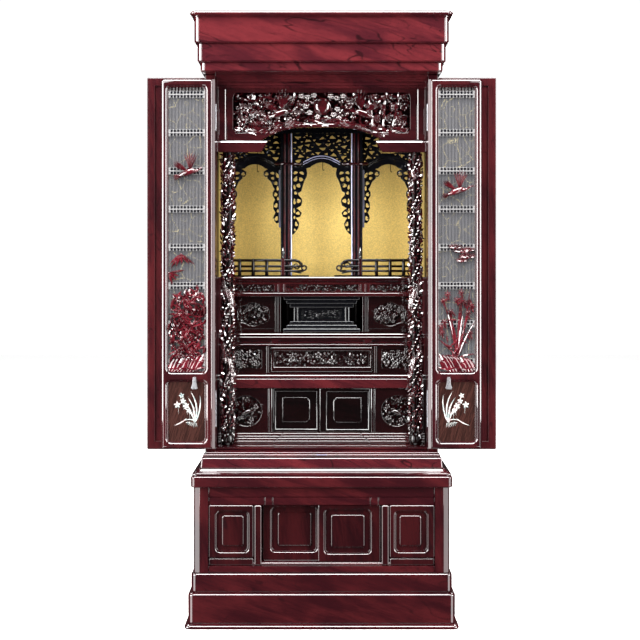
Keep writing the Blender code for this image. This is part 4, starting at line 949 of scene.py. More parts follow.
class ALTAR_OT_nageshi(bpy.types.Operator):
    """Short mitred rails over the pillars"""
    bl_idname = "altar.nageshi"
    bl_label = "Mitred rails"

    def execute(self, context):
        for side, name in SIDES.items():
            low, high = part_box(f"nageshi_{name}")
            outer = 0.3037
            section = [(high.y, low.z), (low.y + 0.001, low.z), (low.y, low.z + 0.001),
                (low.y, high.z - 0.0044), (low.y + 0.002, high.z - 0.0006), (low.y + 0.0028, high.z),
                (high.y, high.z)]
            mitre = lambda z: 0.175 - 0.0187 * (z - low.z) / (high.z - low.z)
            verts = [(side * x, y, z) for y, z in section for x in (outer, mitre(z))]
            count = len(section)
            faces = [(2 * i, 2 * i + 1, 2 * ((i + 1) % count) + 1, 2 * ((i + 1) % count))
                for i in range(count)]
            faces += [tuple(range(0, 2 * count, 2)), tuple(range(1, 2 * count, 2))]
            made = from_lists(f"mitred_rail_{name}", verts, faces)
            with editing(made):
                bpy.ops.mesh.normals_make_consistent(inside=False)
            smooth(made, 15.0)
            hang(made, "rail", f"nageshi_{name}")
        return {"FINISHED"}


# Doors

class ALTAR_OT_outer_doors(bpy.types.Operator):
    """Four plain outer leaves, each a frame with a sunk board on both faces"""
    bl_idname = "altar.outer_doors"
    bl_label = "Outer doors"

    def execute(self, context):
        for name in SIDES.values():
            for leaf in "ab":
                node = f"outer_door_{leaf}_{name}"
                low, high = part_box(node)
                edge = 0.0235
                opening = (low.x + edge, low.z + edge, high.x - edge, high.z - edge)
                rails = cut_out("rails", [rectangle(low.x, low.z, high.x, high.z, 0.003, 2),
                        rectangle(*opening)], low.y, high.y, 0.0024, detail=2)
                deep = 0.0045
                field = block("field", (opening[0] - 0.002, low.y + deep, opening[1] - 0.002),
                    (opening[2] + 0.002, high.y - deep, opening[3] + 0.002))
                made = gather(f"outer_leaf_{leaf}_{name}", [rails, field])
                hang(made, "side", node)
        return {"FINISHED"}


# A leaf on the right side: its outline, its two faces, its openings, and how far what lies behind laps over
LEAF = {"left": 0.3015, "right": 0.4525, "low": 0.492, "high": 1.5367}
LEAF_FRONT, LEAF_BACK = -0.2515, -0.2335
SIGHT = (0.3269, 0.7071, 0.437, 1.5177)
LOWER = (0.3269, 0.5094, 0.437, 0.6845)
LAP = 0.002
HINGE_Y = -0.2325
FOLD_X, FOLD_Y = (LEAF["left"] + LEAF["right"]) / 2, (LEAF_BACK + HINGE_Y) / 2


def folded_away(side):
    """The half turn that puts the second leaf behind the first."""
    centre = Matrix.Translation((side * FOLD_X, FOLD_Y, 0.0))
    return centre @ Matrix.Rotation(math.pi, 4, "Z") @ centre.inverted()


class ALTAR_OT_lattice_doors(bpy.types.Operator):
    """Four lattice leaves: frame, slats, bars, gauze and the board low down"""
    bl_idname = "altar.lattice_doors"
    bl_label = "Lattice doors"

    def execute(self, context):
        for side, name in SIDES.items():
            slats, pegs = self.lattice(side)
            parts = {
                "frame": ("stile", self.rails(side)),
                "edge": ("edge", self.edge(side)),
                # The dark slats and the black pegs where they cross the bars are painted shade.
                "slats": ("shaded_stile", slats),
                "pegs": ("lacquer", pegs),
                "bars": ("pale", self.bars(side)),
                # The backing takes the lightened pale wood: painted light.
                "backing": ("backing", self.behind(side, SIGHT, -0.2366, -0.235, 0.0003)),
                "board": ("board", self.behind(side, LOWER, -0.245, -0.24, 0.0005)),
                "gauze": ("gauze", self.cloth(side)),
            }
            for leaf in "ba":
                body = f"lattice_{leaf}_{name}"
                for part, (finish_name, shape) in parts.items():
                    piece_name = f"{body}_{part}"
                    if leaf == "b":
                        piece = shape
                        piece.name = piece_name
                    else:
                        piece = turned_copy(shape, piece_name, folded_away(side))
                    node = f"lattice_door_{leaf}_{name}" if part == "frame" else None
                    hang(piece, finish_name, node, body)
                    part == "gauze"
        return {"FINISHED"}

    def rails(self, side):
        outer = on_side(side, LEAF["left"] + 0.0065, LEAF["low"], LEAF["right"], LEAF["high"])
        holes = [rectangle(*on_side(side, *hole), 0.012, 5) for hole in (SIGHT, LOWER)]
        rails = cut_out("rails", [rectangle(*outer, 0.0062, 3), *holes], LEAF_FRONT, LEAF_BACK, 0.0056,
            detail=3)
        step = 0.0034
        beads = []
        for hole in (SIGHT, LOWER):
            left, low, right, high = on_side(side, *hole)
            beads.append(
                cut_out("bead", [rectangle(left - 0.001, low - 0.001, right + 0.001, high + 0.001, 0.012,
                    5), rectangle(left + step, low + step, right - step, high - step, 0.01, 5)],
                    LEAF_FRONT + 0.0045, LEAF_BACK, 0.0012))
        return gather("frame", [rails, *beads])

    def edge(self, side):
        """The sloping strip down the hinge side of a leaf."""
        left = LEAF["left"]
        section = [(left, LEAF_BACK), (left, LEAF_FRONT + 0.0035), (left + 0.0075, LEAF_FRONT + 0.001),
            (left + 0.0088, LEAF_FRONT + 0.001), (left + 0.0088, LEAF_BACK)]
        return cut_out("edge", [[(side * x, y) for x, y in section]], LEAF["low"] + 0.0006,
            LEAF["high"] - 0.0006, 0.0006, "top")

    def lattice(self, side):
        left, low, right, high = on_side(side, *SIGHT)
        size = sizes()
        middle = (left + right) / 2
        first = middle - size.slat_pitch * (size.slats - 1) / 2
        across = [first + i * size.slat_pitch for i in range(size.slats)]
        half = size.slat_width / 2
        slats = [block("slat", (x - half, -0.2412, low - LAP), (x + half, -0.2372, high + LAP))
            for x in across]
        pegs = []
        wide, tall = 0.0029, 0.0034
        for z in self.levels(low, high):
            for offset in (0.0056, -0.0056):
                pegs += [block("peg", (x - wide, -0.2462, z + offset - tall),
                        (x + wide, -0.2432, z + offset + tall)) for x in across]
        return gather("slats", slats), gather("pegs", pegs)

    @staticmethod
    def levels(low, high):
        """Heights of the bars, from the top down."""
        made = []
        z = high - 0.0236
        while z > low + 0.02:
            made.append(z)
            z -= sizes().bar_pitch
        return made

    def bars(self, side):
        left, low, right, high = on_side(side, *SIGHT)
        parts = []
        for z in self.levels(low, high):
            for half, front in ((0.01, -0.2442), (0.0014, -0.2455)):
                parts.append(bar((left + 0.0036, front, z - half), (right - 0.0036, -0.2428, z + half),
                        0.0004, 1))
        return gather("bars", parts)

    def behind(self, side, hole, front, back, rim):
        """A thin board behind an opening."""
        left, low, right, high = on_side(side, *hole)
        return bar((left - LAP, front, low - LAP), (right + LAP, back, high + LAP), rim, 1)

    def cloth(self, side):
        """The gauze, which stops under the top bar."""
        left, low, right, high = on_side(side, *SIGHT)
        return block("cloth", (left - LAP, -0.24245, low - LAP), (right + LAP, -0.24215, high - 0.0136))


# Carver's tools

def on_front(y):
    """Lays (across, up, out) on a face that looks forward at that Y."""
    return Matrix.Translation((0.0, y, 0.0)) @ FACING["front"]


def round_post(x, y, angle):
    """Lays (across, up, out) round an upright axis."""
    return Matrix.Translation((x, y, 0.0)) @ Matrix.Rotation(angle, 4, "Z") @ FACING["front"]


def dome_mesh(sides=8, rings=2):
    """Half a ball, closed underneath."""
    verts, faces = [], []
    for ring in range(rings):
        angle = math.pi / 2 * ring / rings
        for k in range(sides):
            turn = math.tau * k / sides
            verts.append(Vector((math.cos(turn) * math.cos(angle), math.sin(turn) * math.cos(angle),
                    math.sin(angle))))
    verts.append(Vector((0.0, 0.0, 1.0)))
    for ring in range(rings - 1):
        for k in range(sides):
            a, b = ring * sides + k, ring * sides + (k + 1) % sides
            faces.append((a, b, b + sides, a + sides))
    last = (rings - 1) * sides
    for k in range(sides):
        faces.append((last + k, last + (k + 1) % sides, rings * sides))
    faces.append(tuple(reversed(range(sides))))
    return verts, faces


def blade_mesh(points, widths, height):
    """A leaf along points of (across, up, out): a ridge between two edges, closed behind."""
    verts, faces = [], []
    points = [Vector(point) for point in points]
    for i, (point, width) in enumerate(zip(points, widths)):
        ahead = points[min(i + 1, len(points) - 1)] - points[max(i - 1, 0)]
        side = Vector((-ahead.y, ahead.x, 0.0)).normalized() * max(width, 0.00005)
        lift = Vector((0.0, 0.0, height * (0.35 + 0.65 * width / max(widths))))
        verts += [point + side, point + lift, point - side]
    for i in range(len(points) - 1):
        a = 3 * i
        faces += [(a, a + 3, a + 4, a + 1), (a + 1, a + 4, a + 5, a + 2), (a + 2, a + 5, a + 3, a)]
    faces += [(0, 1, 2), (len(verts) - 1, len(verts) - 2, len(verts) - 3)]
    return verts, faces


def bent(start, angle, size, bend, steps=4, out=0.0, rise=0.0):
    """Points on a bow that starts at an angle and turns by bend over its length."""
    points = [Vector((start[0], start[1], out))]
    for i in range(steps):
        turn = angle + bend * (i + 0.5) / steps
        points.append(points[-1] + Vector((math.cos(turn) * size / steps, math.sin(turn) * size / steps,
                rise / steps)))
    return points


def leaf_widths(width, steps=4):
    return [width * value for value in (0.12, *(math.sin(math.pi * (0.18 + 0.72 * i / steps))
            for i in range(1, steps)), 0.04)]


def spiral(centre, radius, start, turns, steps=11, out=0.0):
    """Points that wind inward round a centre."""
    points = []
    for i in range(steps + 1):
        reach, turn = radius * (1 - 0.8 * i / steps), start + math.tau * turns * i / steps
        points.append(Vector((centre[0] + reach * math.cos(turn), centre[1] + reach * math.sin(turn),
                out + radius * 0.25 * i / steps)))
    return points


class Carving:
    """Small carved shapes gathered into one mesh. They are laid on a face by (across, up, out)."""

    def __init__(self, face, seed=1, limits=None):
        self.face = face
        self.verts = []
        self.faces = []
        self.limits = limits
        self.chance = random.Random(seed)

    def add(self, verts, faces):
        """Adds a shape, unless it would pass the limits (left, low, right, high)."""
        if self.limits:
            left, low, right, high = self.limits
            if not all(left < vert[0] < right and low < vert[1] < high for vert in verts):
                return
        first = len(self.verts)
        self.verts += [self.face @ Vector(vert) for vert in verts]
        self.faces += [tuple(first + i for i in face) for face in faces]

    def dome(self, x, z, radius, height=None, out=0.0, sides=8, stretch=1.0, turn=0.0, rings=2):
        height = radius if height is None else height
        place = (Matrix.Translation((x, z, out)) @ Matrix.Rotation(turn, 4, "Z") @ Matrix.Diagonal(
                (radius * stretch, radius, height, 1.0)))
        verts, faces = dome_mesh(sides, rings)
        self.add([place @ vert for vert in verts], faces)

    def rod(self, points, radii, sides=6):
        self.add(*rod_mesh(points, radii, sides))

    def leaf(self, x, z, angle, size, width=None, bend=0.0, out=0.0, rise=0.0, height=None, steps=4):
        width = size * 0.16 if width is None else width
        points = bent((x, z), angle, size, bend, steps, out, rise)
        self.add(*blade_mesh(points, leaf_widths(width, steps), width * 0.9 if height is None else height))

    def curl(self, x, z, radius, start, turns=1.2, thick=0.25, out=0.0, sides=5, steps=11):
        points = spiral((x, z), radius, start, turns, steps, out)
        radii = [radius * thick * (1 - 0.55 * i / steps) for i in range(steps + 1)]
        self.rod(points, radii, sides)

    def ring(self, x, z, radius, thick, out=0.0, sides=5, steps=12):
        points = [
            Vector((x + radius * math.cos(math.tau * i / steps),
                z + radius * math.sin(math.tau * i / steps), out)) for i in range(steps + 1)]
        self.rod(points, thick, sides)

    def blossom(self, x, z, size, out=0.0, petals=5):
        start = self.chance.random() * math.tau
        for k in range(petals):
            angle = start + math.tau * k / petals
            self.dome(x + math.cos(angle) * size * 0.55, z + math.sin(angle) * size * 0.55, size * 0.4,
                size * 0.32, out, 7)
        self.dome(x, z, size * 0.24, size * 0.42, out, 6)

    def fan(self, x, z, angle, spread, size, count, width=None, out=0.0, bend=0.0, rise=0.0):
        for k in range(count):
            share = k / (count - 1) - 0.5 if count > 1 else 0.0
            self.leaf(x, z, angle + spread * share, size * (1 - 0.25 * abs(share)), width, bend * share,
                out + 0.0008 * (k % 2), rise, (width or size * 0.1) * 1.6)

    def pine(self, x, z, size, out=0.0):
        """A cushion of needles over a cloud edge."""
        for k in range(3):
            shift = (k - 1) * size * 0.55
            self.fan(x + shift, z - size * 0.1 * abs(k - 1), math.pi / 2, math.pi * 1.05, size * 0.52, 9,
                size * 0.035, out + 0.001 * k)
            self.dome(x + shift, z - size * 0.12, size * 0.16, size * 0.14, out, 7)

    def bird(self, x, z, size, heading=1.0, lift=0.6, out=0.0, neck=0.8):
        """A flying crane: body, neck, head, two wings, tail and legs."""
        h = heading
        body = [(x - h * size * 0.35, z - size * 0.16), (x - h * size * 0.12, z - size * 0.06),
            (x + h * size * 0.12, z + size * 0.03), (x + h * size * 0.28, z + size * 0.02)]
        self.rod([(px, pz, out + size * 0.05) for px, pz in body], [size * 0.05, size * 0.12, size * 0.11,
                size * 0.05], 8)
        throat = bent((x + h * size * 0.24, z + size * 0.02), 0.15 if h > 0 else math.pi - 0.15,
            size * neck * 0.42, 0.7 * h, 5, out + size * 0.07)
        self.rod(throat, [size * value for value in (0.05, 0.036, 0.03, 0.027, 0.03, 0.036)], 7)
        head = throat[-1]
        self.leaf(head.x, head.y, 0.1 if h > 0 else math.pi - 0.1, size * 0.2, size * 0.018, out=head.z)
        up = math.pi / 2
        self.fan(x + h * size * 0.05, z + size * 0.04, up - h * (0.12 - lift * 0.2), 0.62, size * 0.74, 6,
            size * 0.026, out + size * 0.07, 0.4, size * 0.07)
        self.fan(x - h * size * 0.08, z + size * 0.02, up + h * 1.0, 0.55, size * 0.62, 5, size * 0.026,
            out + size * 0.05, -0.4, size * 0.05)
        self.fan(x - h * size * 0.32, z - size * 0.15, math.pi + h * 0.35 if h > 0 else 0.35 * h, 0.8,
            size * 0.3, 5, size * 0.026, out + size * 0.03)
        self.rod([(x - h * size * 0.2, z - size * 0.16, out + 0.001), (x - h * size * 0.58, z - size * 0.3,
                out + 0.001)], size * 0.014, 4)

    def spray(self, points, radius, leaf=0.012, blossom=0.0, out=0.0, thick=None):
        """A branch with leaves on both sides, and blossoms at some of its points."""
        points = [Vector((*point, out)) for point in points]
        count = len(points)
        self.rod(points, [radius * (1 - 0.6 * i / count) for i in range(count)], 6)
        for i in range(count - 1):
            ahead = points[i + 1] - points[i]
            angle = math.atan2(ahead.y, ahead.x)
            for way in SIDES:
                turn = angle + way * self.chance.uniform(0.5, 1.2)
                if self.chance.random() < 0.85:
                    spot = points[i] + ahead * self.chance.random()
                    self.leaf(spot.x, spot.y, turn, leaf * self.chance.uniform(0.7, 1.25), thick, way * 0.5,
                        out + 0.0006, 0.001)
            if blossom and self.chance.random() < 0.6:
                self.blossom(points[i + 1].x, points[i + 1].y, blossom * self.chance.uniform(0.75, 1.2),
                    out + 0.0012)

    def scatter(self, inside, box, count, size, kinds="leaf curl bud", out=0.0, depth=0.003):
        """Foliage over a region, with dark gaps left between."""
        left, low, right, high = box
        kinds = kinds.split()
        for _ in range(count):
            x = self.chance.uniform(left, right)
            z = self.chance.uniform(low, high)
            kind = self.chance.choice(kinds)
            turn = self.chance.random() * math.tau
            scale = size * self.chance.uniform(0.65, 1.25)
            lift = out + self.chance.uniform(0.0, depth)
            if not inside(x, z):
                continue
            if kind == "leaf":
                self.leaf(x, z, turn, scale, scale * 0.13, self.chance.uniform(-1, 1), lift, 0.001,
                    scale * 0.22, 3)
            elif kind == "curl":
                self.curl(x, z, scale * 0.42, turn, 1.1, 0.28, lift, 5, 8)
            elif kind == "blossom":
                self.blossom(x, z, scale * 0.5, lift)
            else:
                self.dome(x, z, scale * 0.22, scale * 0.24, lift, 6)

    def fill(self, box, edge, *foliage):
        """Foliage over a rectangle, clear of its edge."""
        left, low, right, high = box
        self.scatter(lambda x, z: left + edge < x < right - edge and low + edge < z < high - edge, box,
            *foliage)

    def make(self, name):
        return from_lists(name, self.verts, self.faces)


# Front of the cabinet

ARCH_HALF, ARCH_RISE, ARCH_LOW = 0.177, 0.039, 1.3697
GROUND_FRONT = -0.1712


def arch_height(x):
    """Height of the transom's arch at x."""
    share = 1 - min(1.0, abs(x) / ARCH_HALF)
    return ARCH_LOW + ARCH_RISE * (1 - (1 - min(1.0, share * 1.35)) ** 2.2)


def transom_arch(lift=0.0, steps=28):
    """The arch under the transom, from left to right."""
    return [(x, arch_height(x) + lift) for x in (ARCH_HALF * (2 * i / steps - 1) for i in range(steps + 1))]


class ALTAR_OT_transom(bpy.types.Operator):
    """Pierced transom: frame, near-black ground as painted shade behind the piercing, disc, cranes, pine,
    plum, bamboo and the bark band
    """
    bl_idname = "altar.transom"
    bl_label = "Transom"

    def execute(self, context):
        low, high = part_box("transom")
        edge = 0.2745
        outline = [(-edge, ARCH_LOW), *transom_arch(), (edge, ARCH_LOW), (edge, high.z), (-edge, high.z)]
        hole = rectangle(-0.255, 1.3925, 0.255, 1.5085, 0.014, 5)
        frame_board = cut_out("frame", [outline, self.pierced(hole)], -0.1858, -0.1715, 0.0016)
        parts = [frame_board]
        for side in SIDES:
            parts.append(bar((side * 0.3036, -0.1868, low.z), (side * (edge + 0.0006), high.y, high.z),
                    0.0045, 3))
        made = gather("transom_frame", parts)
        hang(made, "rail", "transom")
        ground = cut_out("transom_ground",
            [[(-0.262, 1.386), *transom_arch(0.004), (0.262, 1.386), (0.262, 1.514), (-0.262, 1.514)]],
            GROUND_FRONT, -0.1615)
        # The ground is near black: painted shade in the gaps of the carving.
        hang(ground, "painted_shade_ground")
        hang(self.carving(), "carved")
        hang(self.bark(), "carved")
        return {"FINISHED"}

    @staticmethod
    def pierced(hole):
        """The opening, kept above the arch."""
        return [(x, max(z, 1.3925 if abs(x) > 0.15 else arch_height(x) + 0.01))
            for x, z in (hole[:6] + [(-0.15 + 0.3 * i / 24, 1.3925) for i in range(25)] + hole[6:])]

    def carving(self):
        work = Carving(on_front(GROUND_FRONT), 7)
        disc_x, disc_z = 0.002, 1.47
        inside = lambda x, z: (abs(x) < 0.246 and 1.4 < z < 1.502 and z > arch_height(x) + 0.016
            and (x - disc_x) ** 2 + (z - disc_z) ** 2 > 0.026 ** 2)
        box = (-0.25, 1.395, 0.25, 1.508)
        work.scatter(inside, box, 760, 0.019, "leaf leaf leaf curl bud", 0.0, 0.006)
        work.ring(disc_x, disc_z, 0.0225, 0.0022, 0.009, 6, 24)
        work.dome(disc_x, disc_z, 0.0195, 0.005, 0.006, 24, rings=4)
        for x, z in ((-0.04, 1.497), (-0.022, 1.502), (0.026, 1.5), (0.044, 1.494), (0.062, 1.5),
            (-0.058, 1.5), (-0.012, 1.44), (0.014, 1.436), (0.034, 1.446), (0.05, 1.436), (-0.034, 1.452),
            (-0.046, 1.47), (0.046, 1.462)):
            work.blossom(x, z, 0.009, 0.0085)
        work.spray([(-0.235, 1.494), (-0.2, 1.486), (-0.16, 1.497), (-0.12, 1.486), (-0.08, 1.497)], 0.004,
            0.018, 0.0, 0.0075)
        work.spray([(0.236, 1.492), (0.2, 1.5), (0.16, 1.488), (0.12, 1.498), (0.082, 1.486)], 0.004, 0.018,
            0.0, 0.0075)
        work.bird(-0.118, 1.452, 0.088, 1.0, 0.2, 0.0085)
        work.bird(0.118, 1.452, 0.086, -1.0, 0.2, 0.0085)
        for x, z, size in ((-0.22, 1.468, 0.024), (-0.185, 1.448, 0.026), (-0.228, 1.434, 0.022),
            (-0.16, 1.424, 0.022), (-0.076, 1.452, 0.02), (0.09, 1.48, 0.02), (0.218, 1.474, 0.024),
            (0.226, 1.42, 0.024)):
            work.pine(x, z, size, 0.008)
        for x in (0.15, 0.178, 0.204):
            lean = (x - 0.17) * 0.2
            work.rod([(x + lean * k, 1.402 + 0.032 * k, 0.0085) for k in range(4)], 0.0034, 7)
            for k in range(4):
                work.ring(x + lean * k, 1.402 + 0.032 * k, 0.0036, 0.001, 0.0095, 4, 8)
                work.fan(x + lean * k + 0.004, 1.412 + 0.03 * k, self.aim(k), 1.3, 0.024, 4, 0.0024, 0.0105)
        for k in range(4):
            half = 0.03 - 0.0065 * k
            work.rod([(-0.18 + half * math.cos(a), 1.413 + half * 0.4 * math.sin(a), 0.009 + 0.0006 * k)
                    for a in (math.tau * i / 20 for i in range(21))], 0.0014, 5)
        return pressed(work.make("transom_carving"), -0.179, 0.6)

    @staticmethod
    def aim(k):
        return -0.5 if k % 2 else math.pi + 0.5

    def bark(self):
        """Layered bark along the arch and out to both sides."""
        work = Carving(on_front(-0.183), 11)
        for strand in range(4):
            points, radii = [], []
            for i in range(73):
                x = -0.249 + 0.498 * i / 72
                share = min(1.0, max(0.0, (0.225 - abs(x)) / 0.075))
                foot = 1.3975 * (1 - share) + (arch_height(x) + 0.0032) * share
                wide = (0.0046 + 0.0014 * math.sin(x * 40 + 1.0)) * (0.8 + 0.4 * share)
                points.append((x, foot + strand * wide + 0.0016 * math.sin(x * 150 + strand * 2.3),
                        0.0002 + 0.002 * math.sin(x * 120 + strand * 1.7)))
                radii.append(0.0025 + 0.0012 * math.sin(i * 1.25 + strand * 1.9))
            work.rod(points, radii, 7)
        for _ in range(40):
            x = work.chance.uniform(-0.17, 0.17)
            z = arch_height(x) + work.chance.uniform(0.003, 0.018)
            slope = (arch_height(x + 0.004) - arch_height(x - 0.004)) / 0.008
            work.leaf(x, z, math.atan(slope) + work.chance.uniform(-0.25, 0.25), 0.026, 0.0022, 0.3, 0.0018,
                0.0, 0.003)
        return work.make("transom_bark")


class ALTAR_OT_pillars(bpy.types.Operator):
    """Two round pillars, each with a scaled dragon among clouds, over a black foot"""
    bl_idname = "altar.pillars"
    bl_label = "Dragon pillars"

    def execute(self, context):
        for side, name in SIDES.items():
            low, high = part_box(f"pillar_{name}")
            x, y = (low.x + high.x) / 2, (low.y + high.y) / 2
            shaft = tube(f"pillar_shaft_{name}", [(x, y, low.z + 0.045), (x, y, high.z)], 0.015, 20)
            # The shaft is near black: painted shade behind the dragon.
            hang(shaft, "painted_shade_ground", f"pillar_{name}")
            self.foot(name, x, y, low.z)
            hang(self.dragon(name, x, y, side), "carved")
        return {"FINISHED"}

    def foot(self, name, x, y, low):
        levels = [(0.0, 0.0135), (0.004, 0.0165), (0.01, 0.0188), (0.017, 0.0195), (0.024, 0.0185),
            (0.03, 0.016), (0.033, 0.014), (0.036, 0.0155), (0.04, 0.0165), (0.044, 0.015), (0.048, 0.0125)]
        foot = tube(f"pillar_foot_{name}", [(x, y, low + z) for z, _ in levels],
            [radius for _, radius in levels], 24)
        work = Carving(Matrix.Identity(4), 27)
        for k in range(64):
            work.face = round_post(x, y, 2.4 * k)
            level = low + 0.006 + 0.04 * (k + 0.5) / 64
            work.leaf(0.0, level, work.chance.uniform(0.6, 2.5), 0.012, 0.0024,
                work.chance.uniform(-0.8, 0.8), 0.0165, 0.001, 0.003, 3)
        hang(foot, "railing")
        # The leaves on the foot take the darkened carving: painted shade.
        hang(work.make(f"pillar_foot_leaves_{name}"), "carved_shaded")

    def dragon(self, name, x, y, side):
        work = Carving(Matrix.Identity(4), 21 + side)
        foot, head, turns = 0.565, 1.262, 3.6
        steps = 140
        spine, thick = [], []
        for i in range(steps + 1):
            share = i / steps
            angle = side * (math.tau * turns * share + 0.6) + math.pi * 1.5
            reach = 0.0082 + 0.0008 * math.sin(share * 40)
            spine.append(Vector((x + reach * math.cos(angle), y + reach * math.sin(angle),
                    foot + (head - foot) * share)))
            thick.append(0.0036 + 0.0082 * math.sin(math.pi * min(1.0, 0.1 + share * 0.95)) ** 0.6)
        work.rod(spine, thick, 12)
        axis = Vector((x, y, 0.0))
        for i in range(3, steps - 2):
            ahead = (spine[i + 1] - spine[i - 1]).normalized()
            outward = (spine[i] - axis) * Vector((1, 1, 0))
            outward = (outward - ahead * outward.dot(ahead)).normalized()
            across = ahead.cross(outward)
            for k in range(-3, 4):
                turn = (k + (0.5 if i % 2 else 0.0)) * 0.42
                normal = outward * math.cos(turn) + across * math.sin(turn)
                other = ahead.cross(normal)
                spot = spine[i] + normal * thick[i] * 0.93
                work.face = Matrix(((other.x, ahead.x, normal.x, spot.x),
                        (other.y, ahead.y, normal.y, spot.y), (other.z, ahead.z, normal.z, spot.z),
                        (0, 0, 0, 1)))
                work.dome(0.0, 0.0, 0.0027, 0.0021, 0.0, 5, 0.95, 0.3, 1)
            if i % 2 == 0:
                work.face = Matrix(((across.x, ahead.x, outward.x, spine[i].x),
                        (across.y, ahead.y, outward.y, spine[i].y),
                        (across.z, ahead.z, outward.z, spine[i].z), (0, 0, 0, 1)))
                work.leaf(thick[i] * 0.75, 0.0, -0.4, 0.007, 0.0017, 0.4, thick[i] * 0.5, steps=2)
        self.head(work, x, y, side, head)
        turn = 0.0
        for k in range(560):
            turn += 2.4
            level = 0.533 + 0.795 * (k + work.chance.random()) / 560
            work.face = round_post(x, y, turn)
            size = work.chance.uniform(0.0055, 0.009)
            if k % 4 == 0:
                work.curl(0.0, level, size, work.chance.random() * 6.28, 1.2, 0.28, 0.0165, 5, 8)
            elif k % 4 == 1:
                work.rod([(-size * 0.7, level, 0.015), (0.0, level + size * 0.5, 0.0195),
                        (size * 0.8, level + size * 1.3, 0.0165)], [0.0022, 0.003, 0.0012], 6)
            else:
                work.leaf(0.0, level, work.chance.uniform(0.3, 2.9), size * 2.4, 0.0027,
                    work.chance.uniform(-1.2, 1.2), 0.016, 0.003, 0.0044)
        return pressed(work.make(f"pillar_dragon_{name}"), -0.174, 0.65)

    def head(self, work, x, y, side, z):
        """Brow, jaws, horns, mane and whiskers."""
        work.face = round_post(x, y, side * -0.15)
        work.rod([(0.0, z - 0.006, 0.013), (side * -0.003, z + 0.008, 0.0165),
                (side * -0.007, z + 0.018, 0.016), (side * -0.01, z + 0.024, 0.0145)],
            [0.0062, 0.0066, 0.0048, 0.003], 8)
        work.dome(-0.0035, z + 0.01, 0.002, 0.0024, 0.02, 6)
        work.dome(0.002, z + 0.01, 0.002, 0.0024, 0.02, 6)
        for way in SIDES:
            work.rod(bent((way * 0.003, z + 0.004), math.pi / 2 + way * 0.5, 0.022, -way * 0.9, 4, 0.0185),
                [0.0017, 0.0015, 0.0012, 0.0009, 0.0005], 5)
            work.rod(bent((way * 0.004, z + 0.018), math.pi * (0.15 if way > 0 else 0.85), 0.02, way * 1.6,
                    5, 0.017), 0.0007, 4)
        work.fan(0.0, z - 0.004, -math.pi / 2, 2.6, 0.02, 9, 0.0017, 0.015)
        for level in (0.66, 0.86, 1.05, 1.17):
            work.face = round_post(x, y, side * (level * 9 % 2 - 1.0))
            work.rod([(0.0, level, 0.0125), (0.006, level + 0.01, 0.0165), (0.01, level + 0.004, 0.017)],
                [0.0034, 0.0028, 0.0024], 6)
            work.fan(0.01, level + 0.004, -0.6, 1.8, 0.01, 4, 0.0013, 0.0165)


# Shrine

def cusped(middle, half, peak, step, foot, steps=8):
    """The upper edge of an opening: a round middle, a small step on both sides, then a short drop."""
    points = [(-half, foot), (-half * 0.94, step - 0.002), (-half * 0.84, step),
        (-half * 0.7, step + 0.0012)]
    for i in range(steps + 1):
        x = half * 0.62 * (2 * i / steps - 1)
        points.append(
            (x, step + 0.005 + (peak - step - 0.005) * math.cos(x / half / 0.62 * math.pi / 2) ** 0.8))
    points += [(half * 0.7, step + 0.0012), (half * 0.84, step), (half * 0.94, step - 0.002), (half, foot)]
    return [(middle + x, z) for x, z in points]


# For each bay: its left and right, the middle of its opening, half its width, its peak and its shoulder,
# between the inner and outer faces of the posts and the ends of the screen
POST_IN, POST_OUT, BAY_END = 0.0893, 0.1248, 0.301
BAYS = (
    (-BAY_END, -POST_OUT, -0.2043, 0.044, 1.3215, 1.3075),
    (-POST_IN, POST_IN, 0.0, 0.05, 1.327, 1.3105),
    (POST_OUT, BAY_END, 0.2043, 0.044, 1.3215, 1.3075),
)
FOOT = 1.3035

